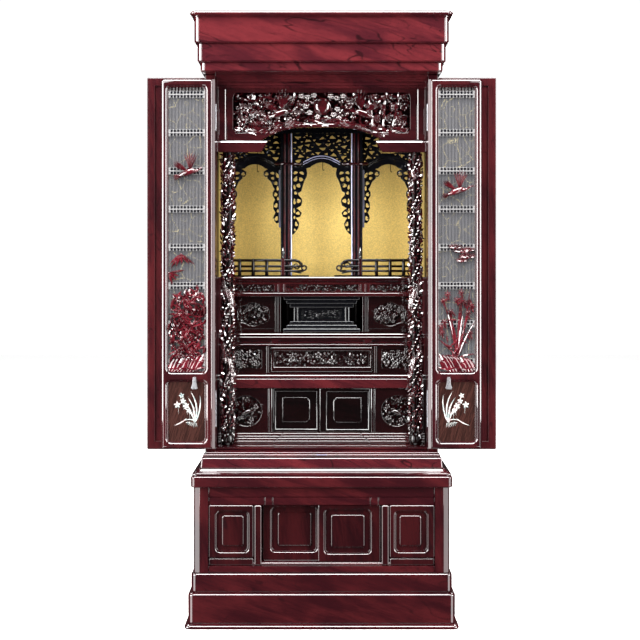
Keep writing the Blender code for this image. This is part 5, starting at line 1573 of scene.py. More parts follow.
# For each kind of bracket: its edge as (reach, height), and its holes as (reach, height, half width, half
# height, turn)
BRACKETS = {"centre": (((0.0428, 1.31), (0.0459, 1.2949), (0.044, 1.284), (0.0367, 1.2701), (0.0325, 1.257),
        (0.0272, 1.2389), (0.0174, 1.2334), (0.02, 1.226), (0.029, 1.216), (0.0303, 1.208),
        (0.0272, 1.1951), (0.0131, 1.187), (0.02, 1.182), (0.0287, 1.1731), (0.0242, 1.1609),
        (0.0113, 1.1575), (0.016, 1.15), (0.0211, 1.14), (0.018, 1.1264), (0.01, 1.1142), (0.002, 1.1062)),
        ((0.0095, 1.296, 0.006, 0.0045, 0.3), (0.029, 1.295, 0.0065, 0.0042, -0.4),
        (0.01, 1.277, 0.0048, 0.0085, -0.4), (0.0255, 1.276, 0.0055, 0.0065, 0.6),
        (0.019, 1.257, 0.0058, 0.0062, -0.5), (0.0062, 1.252, 0.003, 0.0075, 0.1),
        (0.0095, 1.234, 0.0038, 0.005, 0.3), (0.019, 1.21, 0.006, 0.0062, 0.5),
        (0.0065, 1.208, 0.0032, 0.009, 0.0), (0.017, 1.172, 0.0058, 0.0048, -0.3),
        (0.0058, 1.18, 0.0026, 0.0075, 0.1), (0.006, 1.159, 0.0024, 0.005, 0.0),
        (0.0118, 1.139, 0.004, 0.007, 0.3), (0.007, 1.121, 0.0026, 0.0042, 0.3))),
    "side": (((0.044, 1.306), (0.0547, 1.299), (0.055, 1.29), (0.05, 1.283), (0.043, 1.283),
        (0.044, 1.2793), (0.0315, 1.267), (0.0251, 1.2518), (0.021, 1.245), (0.0269, 1.235),
        (0.0269, 1.225), (0.02, 1.213), (0.0245, 1.204), (0.0251, 1.186), (0.0185, 1.174), (0.0235, 1.164),
        (0.022, 1.1484), (0.015, 1.1404), (0.007, 1.143), (0.004, 1.134)),
        ((0.0455, 1.2925, 0.0055, 0.0052, 0.0), (0.027, 1.2945, 0.0065, 0.0042, 0.3),
        (0.0125, 1.288, 0.0042, 0.009, -0.5), (0.0265, 1.279, 0.0045, 0.0042, 0.6),
        (0.017, 1.264, 0.0055, 0.0052, 0.5), (0.0115, 1.248, 0.003, 0.007, 0.0),
        (0.018, 1.23, 0.0048, 0.006, -0.4), (0.0105, 1.217, 0.0028, 0.005, 0.0),
        (0.0165, 1.196, 0.0048, 0.0072, 0.4), (0.0105, 1.179, 0.003, 0.005, 0.0),
        (0.015, 1.156, 0.0045, 0.007, 0.3)))}
SCREEN_FRONT, SCREEN_BACK = 0.0123, 0.0203
MOULDING_HALF = 0.062


def over_moulding(x, middle, level):
    """Height over a bay's moulding at x, which falls away from the middle."""
    return level - 0.026 * min(1.0, abs(x - middle) / MOULDING_HALF) ** 2


class ALTAR_OT_shrine(bpy.types.Operator):
    """Gold walls, black posts and beam, and the pierced screen with its brackets and hooks"""
    bl_idname = "altar.shrine"
    bl_label = "Shrine"

    def execute(self, context):
        board("gold_back_leaf", "gold_back", "gold", 0.0004)
        # The side walls take a darker copy of the gold: painted shade.
        for node in ("gold_side_left", "gold_side_right"):
            board(f"{node}_leaf", node, "gold_side", 0.0004)
        for side, name in SIDES.items():
            low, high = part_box(f"shrine_post_{name}")
            core = rounded(block(f"shrine_column_{name}", (low.x, low.y + 0.003, low.z),
                    (high.x, high.y, high.z)), 0.0012)
            inner, outer = (low.x, high.x) if side > 0 else (high.x, low.x)

            def upright(piece_name, share, deep, radius, sides):
                x, y = inner + share * (outer - inner), low.y + deep
                return tube(piece_name, [(x, y, low.z + 0.001), (x, y, high.z - 0.001)], radius, sides)

            hang(core, "lacquer", f"shrine_post_{name}")
            # The bead is pale grey lacquer: a painted highlight down the column's inner edge.
            hang(upright(f"shrine_column_bead_{name}", 0.07, 0.0035, 0.0017, 10), "bright")
            stripes = [upright("stripe", 0.3, 0.005, 0.0034, 12), upright("stripe", 0.66, 0.005, 0.004, 14)]
            hang(gather(f"shrine_column_stripe_{name}", stripes), "stripe")
            # The side plate is grey lacquer: a painted reflection.
            plate = rounded(block(f"shrine_side_plate_{name}", (side * 0.1247, -0.004, 1.127),
                    (side * 0.1302, 0.012, 1.303)), 0.0012)
            hang(plate, "plate")
        low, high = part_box("shrine_beam")
        beam = [bar((low.x, low.y, low.z + 0.0085), (high.x, high.y, high.z), 0.002),
            bar((low.x, low.y + 0.002, low.z), (high.x, high.y, low.z + 0.0082), 0.002)]
        hang(gather("shrine_head_beam", beam), "lacquer", "shrine_beam")
        hang(self.screen(), "lacquer", "shrine_screen")
        hang(self.arches(), "lacquer")
        hang(self.hooks(), "railing")
        return {"FINISHED"}

    def screen(self):
        parts = [bar((-0.3014, SCREEN_FRONT + 0.004, 1.4135), (0.3014, SCREEN_BACK, 1.5408), 0.001)]
        for number, (left, right, middle, half, peak, step) in enumerate(BAYS):
            outline = [(left, FOOT), *cusped(middle, half, peak, step, FOOT), (right, FOOT),
                (right, 1.4134), (left, 1.4134)]
            parts.append(cut_out("frieze", [outline, *self.gaps(left, right, number)],
                    SCREEN_FRONT + 0.0022, SCREEN_BACK - 0.001, 0.0004, detail=0))
            parts.append(self.relief(left, right, number))
            kind = "centre" if number == 1 else "side"
            lap = 0.0 if number == 1 else 0.0016
            for way in SIDES:
                edge = middle + way * (POST_IN if number == 1 else 0.0795)
                parts.append(self.bracket(edge + way * lap, -way, kind))
        return gather("shrine_openwork", parts)

    @staticmethod
    def moulding(left, right, middle):
        """Height of the double moulding over an opening, along the bay."""
        shape = ((1.0, 1.32), (0.9, 1.3262), (0.8, 1.33), (0.66, 1.3338), (0.56, 1.3372), (0.46, 1.34),
            (0.3, 1.3432), (0.15, 1.3449))
        points = [(left, 1.32)] + [(middle - MOULDING_HALF * share, z) for share, z in shape] + [
            (middle, 1.3455)]
        return points + [(middle + MOULDING_HALF * share, z) for share, z in reversed(shape)] + [
            (right, 1.32)]

    def gaps(self, left, right, number):
        """Leaf-shaped openings that show the gold behind."""
        chance = random.Random(31 + number)
        middle = BAYS[number][2]
        placed = []
        made = []
        for attempt in range(640):
            size = (0.0125, 0.0095, 0.007, 0.005)[min(3, attempt // 90)]
            x = chance.uniform(left + size * 0.9 + 0.001, right - size * 0.9 - 0.001)
            z = chance.uniform(1.33, 1.413 - size * 0.62)
            roof = over_moulding(x, middle, 1.349)
            if z - size * 0.6 < roof or any(math.hypot(x - at_x, (z - at_z) / 0.62) < size + other + 0.0004
                for at_x, at_z, other in placed):
                continue
            placed.append((x, z, size))
            turn = chance.uniform(-0.8, 0.8) + math.pi * (chance.random() < 0.5)
            reach = [size * share for share in (1.0, chance.uniform(0.32, 0.6), chance.uniform(0.6, 0.9),
                    chance.uniform(0.34, 0.55), chance.uniform(0.6, 1.0), chance.uniform(0.3, 0.55))]
            made.append(
                [(x + reach[i] * math.cos(turn + math.tau * i / 6),
                    z + 0.62 * reach[i] * math.sin(turn + math.tau * i / 6)) for i in range(6)])
        return made

    def relief(self, left, right, number):
        work = Carving(on_front(SCREEN_FRONT + 0.0022), 41 + number)
        middle = BAYS[number][2]
        inside = lambda x, z: left + 0.008 < x < right - 0.008 and over_moulding(x, middle,
            1.352) < z < 1.406
        work.scatter(inside, (left, 1.33, right, 1.408), 46, 0.011, "leaf curl leaf bud", -0.0004, 0.0012)
        return work.make("relief")

    def bracket(self, x, way, kind):
        """A pierced bracket that narrows down its post, with curls along its edge."""
        edge, holes = BRACKETS[kind]
        place = lambda reach, z: (x + way * reach, z)
        outline = [place(-0.001, FOOT + 0.002), *(place(*point) for point in edge),
            place(-0.001, edge[-1][1])]
        rings = []
        for reach, z, wide, tall, turn in holes:
            ring = [(wide * math.cos(a) * (1 - 0.5 * math.sin(a)), tall * math.sin(a))
                for a in (math.tau * i / 9 for i in range(9))]
            rings.append(
                [place(reach + u * math.cos(turn) - v * math.sin(turn),
                    z + u * math.sin(turn) + v * math.cos(turn)) for u, v in ring])
        if way < 0:
            outline.reverse()
        board_shape = cut_out("bracket", [outline, *rings], SCREEN_FRONT + 0.003, SCREEN_BACK - 0.0012,
            0.0008)
        work = Carving(on_front(SCREEN_FRONT + 0.003), 51)
        for reach, z, wide, tall, _ in holes[::2]:
            work.curl(*place(reach + wide + 0.0012, z + 0.002), 0.0046, z * 900, 1.0 * way, 0.26, 0.0, 5, 8)
        return gather("bracket", [board_shape, work.make("curls")])

    def arches(self):
        work = Carving(on_front(SCREEN_FRONT - 0.0005), 3)
        for left, right, middle, _, _, _ in BAYS:
            line = self.moulding(left, right, middle)
            for lift, thick in ((0.0, 0.0026), (-0.0064, 0.002)):
                work.rod([(x, z + lift, 0.0) for x, z in line], thick, 8)
        across = Carving(on_front(SCREEN_FRONT - 0.0005), 3)
        for side in SIDES:
            across.rod([(side * 0.064, 1.32, 0.0262), (side * 0.14, 1.32, 0.0262)], 0.0042, 12)
        hang(across.make("shrine_cross_rails"), "stile")
        # A pale line along the middle arch: a painted highlight on its moulding.
        line = Carving(on_front(SCREEN_FRONT - 0.003), 3)
        for lift, thick in ((0.001, 0.0016), (-0.006, 0.0009)):
            line.rod([(x, z + lift, 0.0) for x, z in self.moulding(*BAYS[1][:3])[2:-2]], thick, 8)
        hang(line.make("shrine_arch_line"), "bright")
        return work.make("shrine_arches")

    def hooks(self):
        work = Carving(on_front(SCREEN_FRONT - 0.001), 3)
        for x, top in ((-0.1966, 1.324), (0.0034, 1.329), (0.2107, 1.324)):
            work.rod([(x, top, 0.0), (x, top - 0.023, 0.0), (x + 0.001, top - 0.026, 0.001),
                    (x + 0.003, top - 0.027, 0.001), (x + 0.004, top - 0.024, 0.001)], 0.0011, 6)
        return work.make("shrine_hooks")


class ALTAR_OT_railings(bpy.types.Operator):
    """Two low railings with newels, round rails and scrolled ends"""
    bl_idname = "altar.railings"
    bl_label = "Railings"

    def execute(self, context):
        for side, name in SIDES.items():
            low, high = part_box(f"railing_{name}")
            hang(self.rails(side, low, high), "railing", f"railing_{name}")
            hang(self.caps(side, low, high), "lacquer")
        return {"FINISHED"}

    def rails(self, side, low, high):
        y = (low.y + high.y) / 2
        work = Carving(on_front(y), 5)
        outer, newel = side * 0.3, side * 0.117
        for lift, thick in ((0.018, 0.0034), (0.032, 0.0036), (0.05, 0.0044)):
            end = side * (0.056 if lift < 0.05 else 0.08)
            points = [(outer, low.z + lift, 0.0), (newel, low.z + lift, 0.0), (end, low.z + lift, 0.0)]
            if lift == 0.05:
                points += [(side * 0.07, low.z + 0.047, 0.0), (side * 0.06, low.z + 0.038, 0.0)]
            work.rod(points, thick, 10)
        for x in (0.248, 0.207, 0.166):
            work.rod([(side * x, low.z + 0.004, 0.0), (side * x, low.z + 0.051, 0.0)], 0.0054, 8)
            for lift in (0.018, 0.032, 0.05):
                work.dome(side * x, low.z + lift, 0.0056, 0.005, 0.0, 8)
        work.ring(side * 0.053, low.z + 0.027, 0.0072, 0.0027, 0.0, 8, 16)
        work.curl(side * 0.076, low.z + 0.034, 0.011, 0.0, 1.2 * side, 0.26, 0.0, 6, 12)
        work.curl(side * 0.093, low.z + 0.03, 0.009, 2.0, -1.2 * side, 0.28, 0.0, 6, 12)
        work.rod([(side * 0.105, low.z + 0.02, 0.0), (side * 0.062, low.z + 0.012, 0.0)], 0.0024, 6)
        made = work.make("rails")
        ledge = bar((side * 0.038, low.y, low.z), (outer, high.y, low.z + 0.0055), 0.0012)
        post = bar((newel - 0.0048, y - 0.006, low.z + 0.005), (newel + 0.0048, y + 0.006, low.z + 0.056),
            0.0012)
        hang(gather(f"railing_newel_{SIDES[side]}", [post]), "stile")
        return gather(f"railing_rods_{SIDES[side]}", [made, ledge])

    def caps(self, side, low, high):
        y = (low.y + high.y) / 2
        levels = [(0.0555, 0.0052), (0.058, 0.0066), (0.06, 0.0066), (0.062, 0.004), (0.064, 0.0036),
            (0.068, 0.0062), (0.073, 0.0072), (0.078, 0.006), (0.083, 0.0034), (0.088, 0.001)]
        return tube(f"railing_finial_{SIDES[side]}", [(side * 0.117, y, low.z + z) for z, _ in levels],
            [radius for _, radius in levels], 16)


# Steps inside the cabinet

# Half the clear width between the cabinet's sides
CLEAR = 0.3035


def lip(node, heights, fronts, back):
    """A shelf's section: bands of given heights, their fronts at given places, sloped at each top."""
    low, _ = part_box(node)
    points = [(back, heights[-1]), (back, low.z)]
    for (bottom, top), front in zip(zip((low.z, *heights), heights), fronts):
        tall = min(0.0044, (top - bottom) * 0.62)
        points += [(front + 0.0004, bottom), (front, bottom + 0.0004), (front, top - tall),
            (front + tall * 0.47, top - 0.0003), (front + tall * 0.47 + 0.0006, top)]
    return points


class ALTAR_OT_shelves(bpy.types.Operator):
    """Three shelves with moulded lips and fretted aprons"""
    bl_idname = "altar.shelves"
    bl_label = "Shelves"

    def execute(self, context):
        low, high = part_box("shelf_1")
        made = run("shelf_1_board", lip("shelf_1", (0.965, 0.9715, 0.9767), (-0.038, -0.0455, -0.0515),
                high.y), low.x, high.x)
        hang(made, "rail", "shelf_1")
        low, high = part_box("shelf_2")
        top = run("shelf_2_board", lip("shelf_2", (0.779, 0.7962, 0.8005, 0.805, 0.809),
                (-0.0955, -0.088, -0.0985, -0.097, -0.1015), high.y), low.x, high.x)
        apron = self.apron(-0.0965, low.z + 0.0062, 0.7957)
        hang(gather("shelf_2_board", [top, apron]), "rail", "shelf_2")
        low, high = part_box("shelf_3")
        made = run("shelf_3_board", lip("shelf_3", (0.679, 0.682, 0.6845, 0.6904),
                (-0.138, -0.134, -0.137, -0.1395), high.y), low.x, high.x)
        hang(made, "shelf", "shelf_3")
        return {"FINISHED"}

    def apron(self, front, low, high):
        """Curved cut-outs along the front under the second shelf."""
        holes = []
        for left, right in ((-0.262, -0.148), (-0.128, 0.128), (0.148, 0.262)):
            middle, half = (left + right) / 2, (right - left) / 2
            roof = high - 0.0035
            floor = low + 0.0045
            holes.append([(left, floor)] + [(middle + half * s, floor - 0.0022 * math.cos(s * 9))
                    for s in (-0.8, -0.6, -0.4, -0.2, 0.0, 0.2, 0.4, 0.6, 0.8)] + [(right, floor),
                    (right - 0.003, roof), (left + 0.003, roof)])
        return cut_out("apron", [rectangle(-0.303, low, 0.303, high), *holes], front, front + 0.006, 0.0008)


class ALTAR_OT_steps(bpy.types.Operator):
    """The rows between the shelves: carved band, cusped reliefs, framed carvings, round carvings"""
    bl_idname = "altar.steps"
    bl_label = "Stepped rows"

    def execute(self, context):
        # Boards and carvings in these rows are darkened copies of the rosewood: painted shade inside the
        # cabinet.
        self.band()
        self.first_row()
        self.second_row()
        self.third_row()
        self.dais()
        self.rails()
        return {"FINISHED"}

    def band(self):
        low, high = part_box("carved_band")
        holes = [(-0.2634, 0.9326, -0.143, 0.9545), (-0.107, 0.9326, 0.111, 0.9545),
            (0.1455, 0.9326, 0.2634, 0.9545)]
        face = cut_out("face", [rectangle(low.x, low.z, high.x, high.z),
                *(rectangle(*hole, 0.003, 2) for hole in holes)], -0.045, -0.039, 0.001)
        back = block("back", (low.x, -0.039, low.z), (high.x, high.y, high.z))
        bars = [bar((x - 0.0022, -0.0492, low.z + 0.012), (x + 0.0022, -0.044, high.z - 0.004), 0.0012)
            for x in (-0.13, -0.113, 0.117, 0.132)]
        step = bar((low.x, -0.0495, low.z), (high.x, -0.04, low.z + 0.0115), 0.0028, 3)
        hang(gather("band_board", [face, back, *bars, step]), "rail", "carved_band")
        work = Carving(on_front(-0.039), 61)
        for left, bottom, right, top in holes:
            work.fill((left, bottom, right, top), 0.003, int(1300 * (right - left)), 0.012,
                "leaf curl bud leaf", 0.0, 0.003)
        hang(work.make("band_carving"), "carved_shaded")

    def first_row(self):
        for side, name in SIDES.items():
            low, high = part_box(f"tier_2_{name}")
            middle, centre = side * 0.2058, 0.864
            oval = self.cusped_oval(middle, centre, 0.05, 0.0345)
            outline = rectangle(*on_side(side, 0.1405, low.z + 0.011, CLEAR, high.z))
            face = cut_out("face", [outline, oval], -0.0298, -0.024, 0.0014, detail=2)
            back = block("back", (side * 0.14, -0.0239, low.z), (side * CLEAR, high.y, high.z))
            stile = bar((side * 0.1228, low.y, low.z), (side * 0.133, high.y, high.z), 0.0022)
            thin = bar((side * 0.1334, low.y + 0.003, low.z), (side * 0.14, high.y, high.z), 0.0016)
            foot = bar((side * 0.1405, low.y, low.z), (side * CLEAR, high.y, low.z + 0.0106), 0.0024)
            hang(gather(f"first_row_board_{name}", [face, back, stile, thin, foot]), "shaded_rail",
                f"tier_2_{name}")
            work = Carving(on_front(-0.0242), 71 + side)
            work.scatter(lambda x, z: ((x - middle) / 0.046) ** 2 + ((z - centre) / 0.03) ** 2 < 1,
                (middle - 0.05, centre - 0.034, middle + 0.05, centre + 0.034), 120, 0.018,
                "leaf curl bud blossom", 0.0, 0.005)
            work.spray([(middle - 0.04, centre - 0.016), (middle - 0.015, centre + 0.004),
                    (middle + 0.015, centre - 0.004), (middle + 0.04, centre + 0.014)], 0.0022, 0.014,
                0.008, 0.0045)
            hang(work.make(f"first_row_carving_{name}"), "carved_shaded")

    @staticmethod
    def cusped_oval(x, z, wide, tall):
        """An oval whose edge is drawn in at six places."""
        points = []
        for i in range(48):
            angle = math.tau * i / 48
            pull = 1.0 - 0.085 * abs(math.cos(3 * angle)) ** 6
            points.append((x + wide * math.cos(angle) * pull, z + tall * math.sin(angle) * pull))
        return points

    def second_row(self):
        low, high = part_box("tier_3_front")
        hole = (-0.1406, 0.7105, 0.1436, 0.7575)
        field = (-0.137, 0.7145, 0.14, 0.7535)
        sides = [(-0.264, 0.7065, -0.178, 0.7625), (0.179, 0.7065, 0.264, 0.7625)]
        face = cut_out("face", [rectangle(low.x, low.z, high.x, high.z),
                rectangle(-0.152, low.z + 0.004, 0.152, high.z - 0.004),
                *(rectangle(*side, 0.004, 2) for side in sides)], -0.0905, -0.0845, 0.0012)
        border = cut_out("border", [rectangle(-0.151, low.z + 0.0045, 0.151, high.z - 0.0045, 0.001, 1),
                rectangle(*hole)], -0.0935, -0.085, 0.003, detail=2)
        inner = cut_out("inner", [rectangle(-0.141, 0.71, 0.144, 0.758), rectangle(*field)], -0.0885,
            -0.084, 0.0012)
        back = block("back", (low.x, -0.0845, low.z), (high.x, high.y, high.z))
        bars = [bar((side * 0.156, low.y, low.z), (side * 0.164, -0.086, high.z), 0.0022) for side in SIDES]
        hang(gather("second_row_board", [face, border, inner, back, *bars]), "shaded_rail", "tier_3_front")
        work = Carving(on_front(-0.0845), 81)
        for left, bottom, right, top in sides:
            work.fill((left, bottom, right, top), 0.003, 120, 0.02, "leaf curl bud blossom", 0.0, 0.0045)
        work.fill(field, 0.003, 190, 0.019, "leaf curl bud", 0.0, 0.003)
        work.spray([(-0.125, 0.722), (-0.09, 0.742), (-0.05, 0.728), (-0.01, 0.744), (0.03, 0.726),
                (0.075, 0.742), (0.125, 0.724)], 0.0022, 0.02, 0.011, 0.0035)
        hang(work.make("second_row_carving"), "carved_shaded")

    def third_row(self):
        for side, name in SIDES.items():
            low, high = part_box(f"tier_4_{name}")
            middle, centre, radius = side * 0.22, 0.5845, 0.044
            outline = rectangle(*on_side(side, 0.156, low.z, CLEAR, high.z))
            hole = [(middle + radius * math.cos(a), centre + radius * math.sin(a))
                for a in (math.tau * i / 40 for i in range(40))]
            face = cut_out("face", [outline, hole], -0.1318, -0.125, 0.0018, detail=2)
            back = block("back", (side * 0.156, -0.1249, low.z), (side * CLEAR, high.y, high.z))
            post = bar((side * 0.1446, low.y, low.z), (side * 0.1556, high.y, high.z), 0.0028, 3)
            hang(gather(f"third_row_board_{name}", [face, back, post]), "shaded_rail", f"tier_4_{name}")
            work = Carving(on_front(-0.125), 91 + side)
            work.scatter(lambda x, z: (x - middle) ** 2 + (z - centre) ** 2 < (radius - 0.003) ** 2,
                (middle - radius, centre - radius, middle + radius, centre + radius), 120, 0.02,
                "leaf curl bud", 0.0, 0.0045)
            work.bird(middle, centre - 0.002, 0.06, -side, 0.5, 0.004)
            for angle in (0.4, 1.5, 2.7, 3.9, 5.2):
                work.blossom(middle + 0.029 * math.cos(angle), centre + 0.029 * math.sin(angle), 0.0095,
                    0.005)
            hang(work.make(f"third_row_carving_{name}"), "carved_shaded")

    def dais(self):
        _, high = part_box("dais")
        field = (-0.056, 0.849, 0.056, 0.8765)
        steps = ((0.8103, 0.8201, 0.118, -0.018), (0.8211, 0.831, 0.108, -0.008),
            (0.832, 0.8418, 0.098, 0.002), (0.8428, 0.8829, 0.086, 0.012), (0.8839, 0.8949, 0.098, 0.002),
            (0.8959, 0.9068, 0.108, -0.008), (0.9078, 0.9176, 0.116, -0.016))
        parts = [bar((-half, front, bottom - 0.0006), (half, high.y, top + 0.0002), 0.0026, 3)
            for bottom, top, half, front in steps]
        for x in (-0.084, -0.074, 0.074, 0.084):
            parts.append(tube("colonnette", [(x, 0.0095, 0.8422), (x, 0.0095, 0.8835)], 0.0032, 10))
        border = cut_out("border", [rectangle(-0.06, 0.8455, 0.06, 0.88), rectangle(*field)], 0.0085,
            0.0125, 0.0012)
        hang(gather("dais_steps", [*parts, border]), "lacquer", "dais")
        work = Carving(on_front(0.0122), 101)
        work.fill(field, 0.002, 120, 0.012, "leaf curl bud", 0.0, 0.0018)
        hang(work.make("dais_carving"), "lacquer")

    def rails(self):
        low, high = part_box("low_rails")
        levels = ((0.4913, 0.499, -0.142), (0.4994, 0.5062, -0.14), (0.5066, 0.513, -0.139),
            (0.5134, 0.5208, -0.138))
        parts = []
        for number, (bottom, top, front) in enumerate(levels):
            joint = 0.139 - 0.008 * number
            for left, right in ((low.x, -joint), (-joint + 0.0004, joint - 0.0004), (joint, high.x)):
                proud = 0.0012 if abs(left + right) < 0.01 else 0.0
                parts.append(bar((left, front + proud, bottom), (right, high.y, top), 0.0026, 3))
        hang(gather("low_rail_set", parts), "rail", "low_rails")


class ALTAR_OT_small_doors(bpy.types.Operator):
    """Two small sliding doors low in the cabinet"""
    bl_idname = "altar.small_doors"
    bl_label = "Small doors"

    def execute(self, context):
        openings = {"left": ((-0.1342, 0.531, -0.0155, 0.64), (-0.116, 0.55, -0.034, 0.624)),
            "right": ((0.0158, 0.531, 0.136, 0.64), (0.034, 0.55, 0.117, 0.624))}
        for name, (opening, raised) in openings.items():
            low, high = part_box(f"small_door_{name}")
            rails = cut_out("rails", [rectangle(low.x, low.z, high.x, high.z), rectangle(*opening)], low.y,
                high.y, 0.0034, detail=2)
            field = block("field", (opening[0] - 0.002, low.y + 0.0058, opening[1] - 0.002),
                (opening[2] + 0.002, high.y - 0.0002, opening[3] + 0.002))
            left, bottom, right, top = raised
            cut = 0.01
            corners = [(left, bottom), (right - cut, bottom), (right, bottom + cut), (right, top - cut),
                (right - cut, top), (left, top)]
            if name == "right":
                corners = [(left + right - x, z) for x, z in reversed(corners)]
            raised_field = cut_out("raised", [corners], low.y + 0.0018, low.y + 0.0077, 0.0028, detail=2)
            made = gather(f"small_sliding_door_{name}", [rails, field, raised_field])
            # The small doors are darkened: painted shade.
            hang(made, "small_door", f"small_door_{name}")
        return {"FINISHED"}


class ALTAR_OT_tray(bpy.types.Operator):
    """Sliding tray with a stepped front and a small metal pull"""
    bl_idname = "altar.tray"
    bl_label = "Tray"

    def execute(self, context):
        _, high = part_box("tray")
        profile = shoulder(0.006, 0.4705, 0.4777, 0.003) + [(0.0012, 0.4781)] + shoulder(0.0, 0.4784,
            0.4825, 0.0019)
        strip = moulded("strip", 0.329, -0.25, -0.215, profile, 0.002)
        shelf = bar((-0.302, -0.2152, 0.4715), (0.302, high.y, 0.4805), 0.001)
        hang(gather("tray_board", [strip, shelf]), "wide", "tray")
        work = Carving(on_front(-0.256), 3)
        work.rod([(-0.0125, 0.4766, 0.0016), (0.0125, 0.4766, 0.0016)], 0.0013, 8)
        for x in (-0.0125, 0.0125):
            work.dome(x, 0.4766, 0.0022, 0.0028, 0.0, 10)
        hang(work.make("tray_pull"), "plate", body="tray")
        return {"FINISHED"}


# Dressing of the doors

# Where the garden carvings and the orchid lie, and the window that the right garden stays in
GARDEN_FACE, ORCHID_FACE = -0.244, -0.245
GARDEN = (0.3267, 0.706, 0.4372, 1.5175)


class ALTAR_OT_door_carvings(bpy.types.Operator):
    """Carvings over the lattice and the orchid of shell below, with the metal pulls and hinges"""
    bl_idname = "altar.door_carvings"
    bl_label = "Door carvings"

    def execute(self, context):
        for side, name in SIDES.items():
            made = self.left_garden() if side < 0 else self.right_garden()
            # The gardens take the lightened carving: painted light.
            self.both_leaves(made, f"garden_{name}", "carved_lit", side)
            self.both_leaves(self.orchid(side), f"orchid_{name}", "shell", side)
            self.pull(side)
            self.hinges(side)
        return {"FINISHED"}

    def both_leaves(self, made, name, finish_name, side):
        made.name = f"{name}_b"
        back = turned_copy(made, f"{name}_a", folded_away(side))
        hang(made, finish_name, body=f"lattice_b_{SIDES[side]}")
        hang(back, finish_name, body=f"lattice_a_{SIDES[side]}")

    def left_garden(self):
        work = Carving(on_front(GARDEN_FACE), 111, on_side(-1, *GARDEN))
        work.bird(-0.3745, 1.276, 0.076, 1.0, 0.4, 0.002, 0.6)
        for x, z, leaves in ((-0.3972, 1.0428, ((-2.24, 0.052), (-2.46, 0.044), (-2.0, 0.04), (-1.55, 0.03),
                (-0.96, 0.037), (-0.72, 0.049))),
            (-0.432, 0.9896, ((0.12, 0.046), (-0.36, 0.032), (-1.3, 0.036), (-0.83, 0.031)))):
            for turn, size in leaves:
                work.leaf(x, z, turn, size, 0.0034, 0.12, 0.0015, 0.002, 0.0036)
            work.dome(x, z, 0.0026, 0.003, 0.001, 7)
        work.spray([(-0.377, 0.725), (-0.372, 0.77), (-0.383, 0.81), (-0.376, 0.85), (-0.386, 0.89),
                (-0.38, 0.93)], 0.0045, 0.022, 0.0, 0.002)
        for start, end in (((-0.372, 0.765), (-0.428, 0.85)), ((-0.383, 0.81), (-0.337, 0.89)),
            ((-0.378, 0.85), (-0.42, 0.925)), ((-0.384, 0.89), (-0.348, 0.938)),
            ((-0.372, 0.75), (-0.334, 0.815)), ((-0.374, 0.745), (-0.426, 0.785))):
            work.spray([tuple(Vector(start).lerp(Vector(end), k / 4)) for k in range(5)], 0.0034, 0.03, 0.0,
                0.003, 0.004)
        work.fill((-0.435, 0.75, -0.329, 0.935), 0.0, 130, 0.033, "leaf leaf leaf leaf leaf curl", 0.0005,
            0.004)
        self.bank(work, -0.435, -0.329, 1.0)
        return work.make("garden")

    def right_garden(self):
        work = Carving(on_front(GARDEN_FACE), 121, on_side(1, *GARDEN))
        work.bird(0.385, 1.223, 0.076, 1.0, 0.2, 0.002, 0.6)
        for x, z, size in ((0.395, 1.054, 0.026), (0.412, 1.038, 0.025), (0.378, 1.064, 0.02),
            (0.417, 1.056, 0.018), (0.396, 1.026, 0.018)):
            work.pine(x, z, size, 0.002)
            work.rod([(x - size * 0.7, z - size * 0.16, 0.003), (x, z - size * 0.26, 0.005),
                    (x + size * 0.7, z - size * 0.16, 0.003)], 0.0026, 6)
        root = (0.3848, 0.749)
        for k, (turn, size, bend) in enumerate(((1.9, 0.156, 0.12), (1.764, 0.177, 0.1),
                (1.571, 0.174, -0.1), (1.471, 0.19, 0.08), (1.324, 0.201, 0.14), (1.238, 0.116, -0.22),
                (1.038, 0.1, -0.25), (0.687, 0.07, -0.3), (0.37, 0.053, -0.3), (2.098, 0.105, 0.2),
                (2.25, 0.08, 0.25), (2.79, 0.034, 0.2), (1.68, 0.145, 0.16), (1.52, 0.125, -0.14),
                (1.4, 0.155, -0.16), (1.15, 0.15, -0.3), (2.0, 0.135, 0.25), (0.88, 0.086, -0.35),
                (1.82, 0.112, -0.2), (1.62, 0.1, 0.2))):
            work.leaf(*root, turn, size, 0.0025, bend, 0.001 + 0.0007 * (k % 3), 0.0025, 0.0014
                if k % 4 == 1 else 0.0022, 6)
        for x, z in ((0.344, 0.91), (0.356, 0.928), (0.382, 0.912), (0.395, 0.933), (0.337, 0.835),
            (0.347, 0.85), (0.424, 0.895), (0.413, 0.875), (0.34, 0.82), (0.42, 0.82), (0.364, 0.88),
            (0.405, 0.905)):
            work.fan(x, z, 1.57, 5.2, 0.012, 7, 0.0016, 0.0045)
            work.leaf(x, z, -1.4, 0.02, 0.0028, 0.3, 0.0025)
        work.fill((0.329, 0.75, 0.435, 0.93), 0.0, 16, 0.026, "leaf", 0.0003, 0.0025)
        self.bank(work, 0.329, 0.435, -1.0)
        return work.make("garden")

    def bank(self, work, left, right, way):
        """Layered rocks along the foot of the lattice."""
        for k in range(12):
            share = (k + 0.5) / 12
            x = left + (right - left) * (share if way > 0 else 1 - share) - way * 0.014
            tall = 0.046 + 0.02 * share
            work.leaf(x, 0.709, math.pi / 2 - way * 0.75, tall, 0.011, way * 0.35,
                0.0006 + 0.0008 * (k % 3), 0.002, 0.005 if k % 6 == 3 else 0.0018, 4)
        for row in range(2):
            z = 0.71 + 0.0085 * row
            work.rod(
                [(left + 0.003 + (right - left - 0.006) * i / 12, z + 0.003 * math.sin(i * 1.1 + row * 1.7),
                    0.003 + 0.0012 * math.sin(i * 1.7 + row)) for i in range(13)], 0.0026, 6)

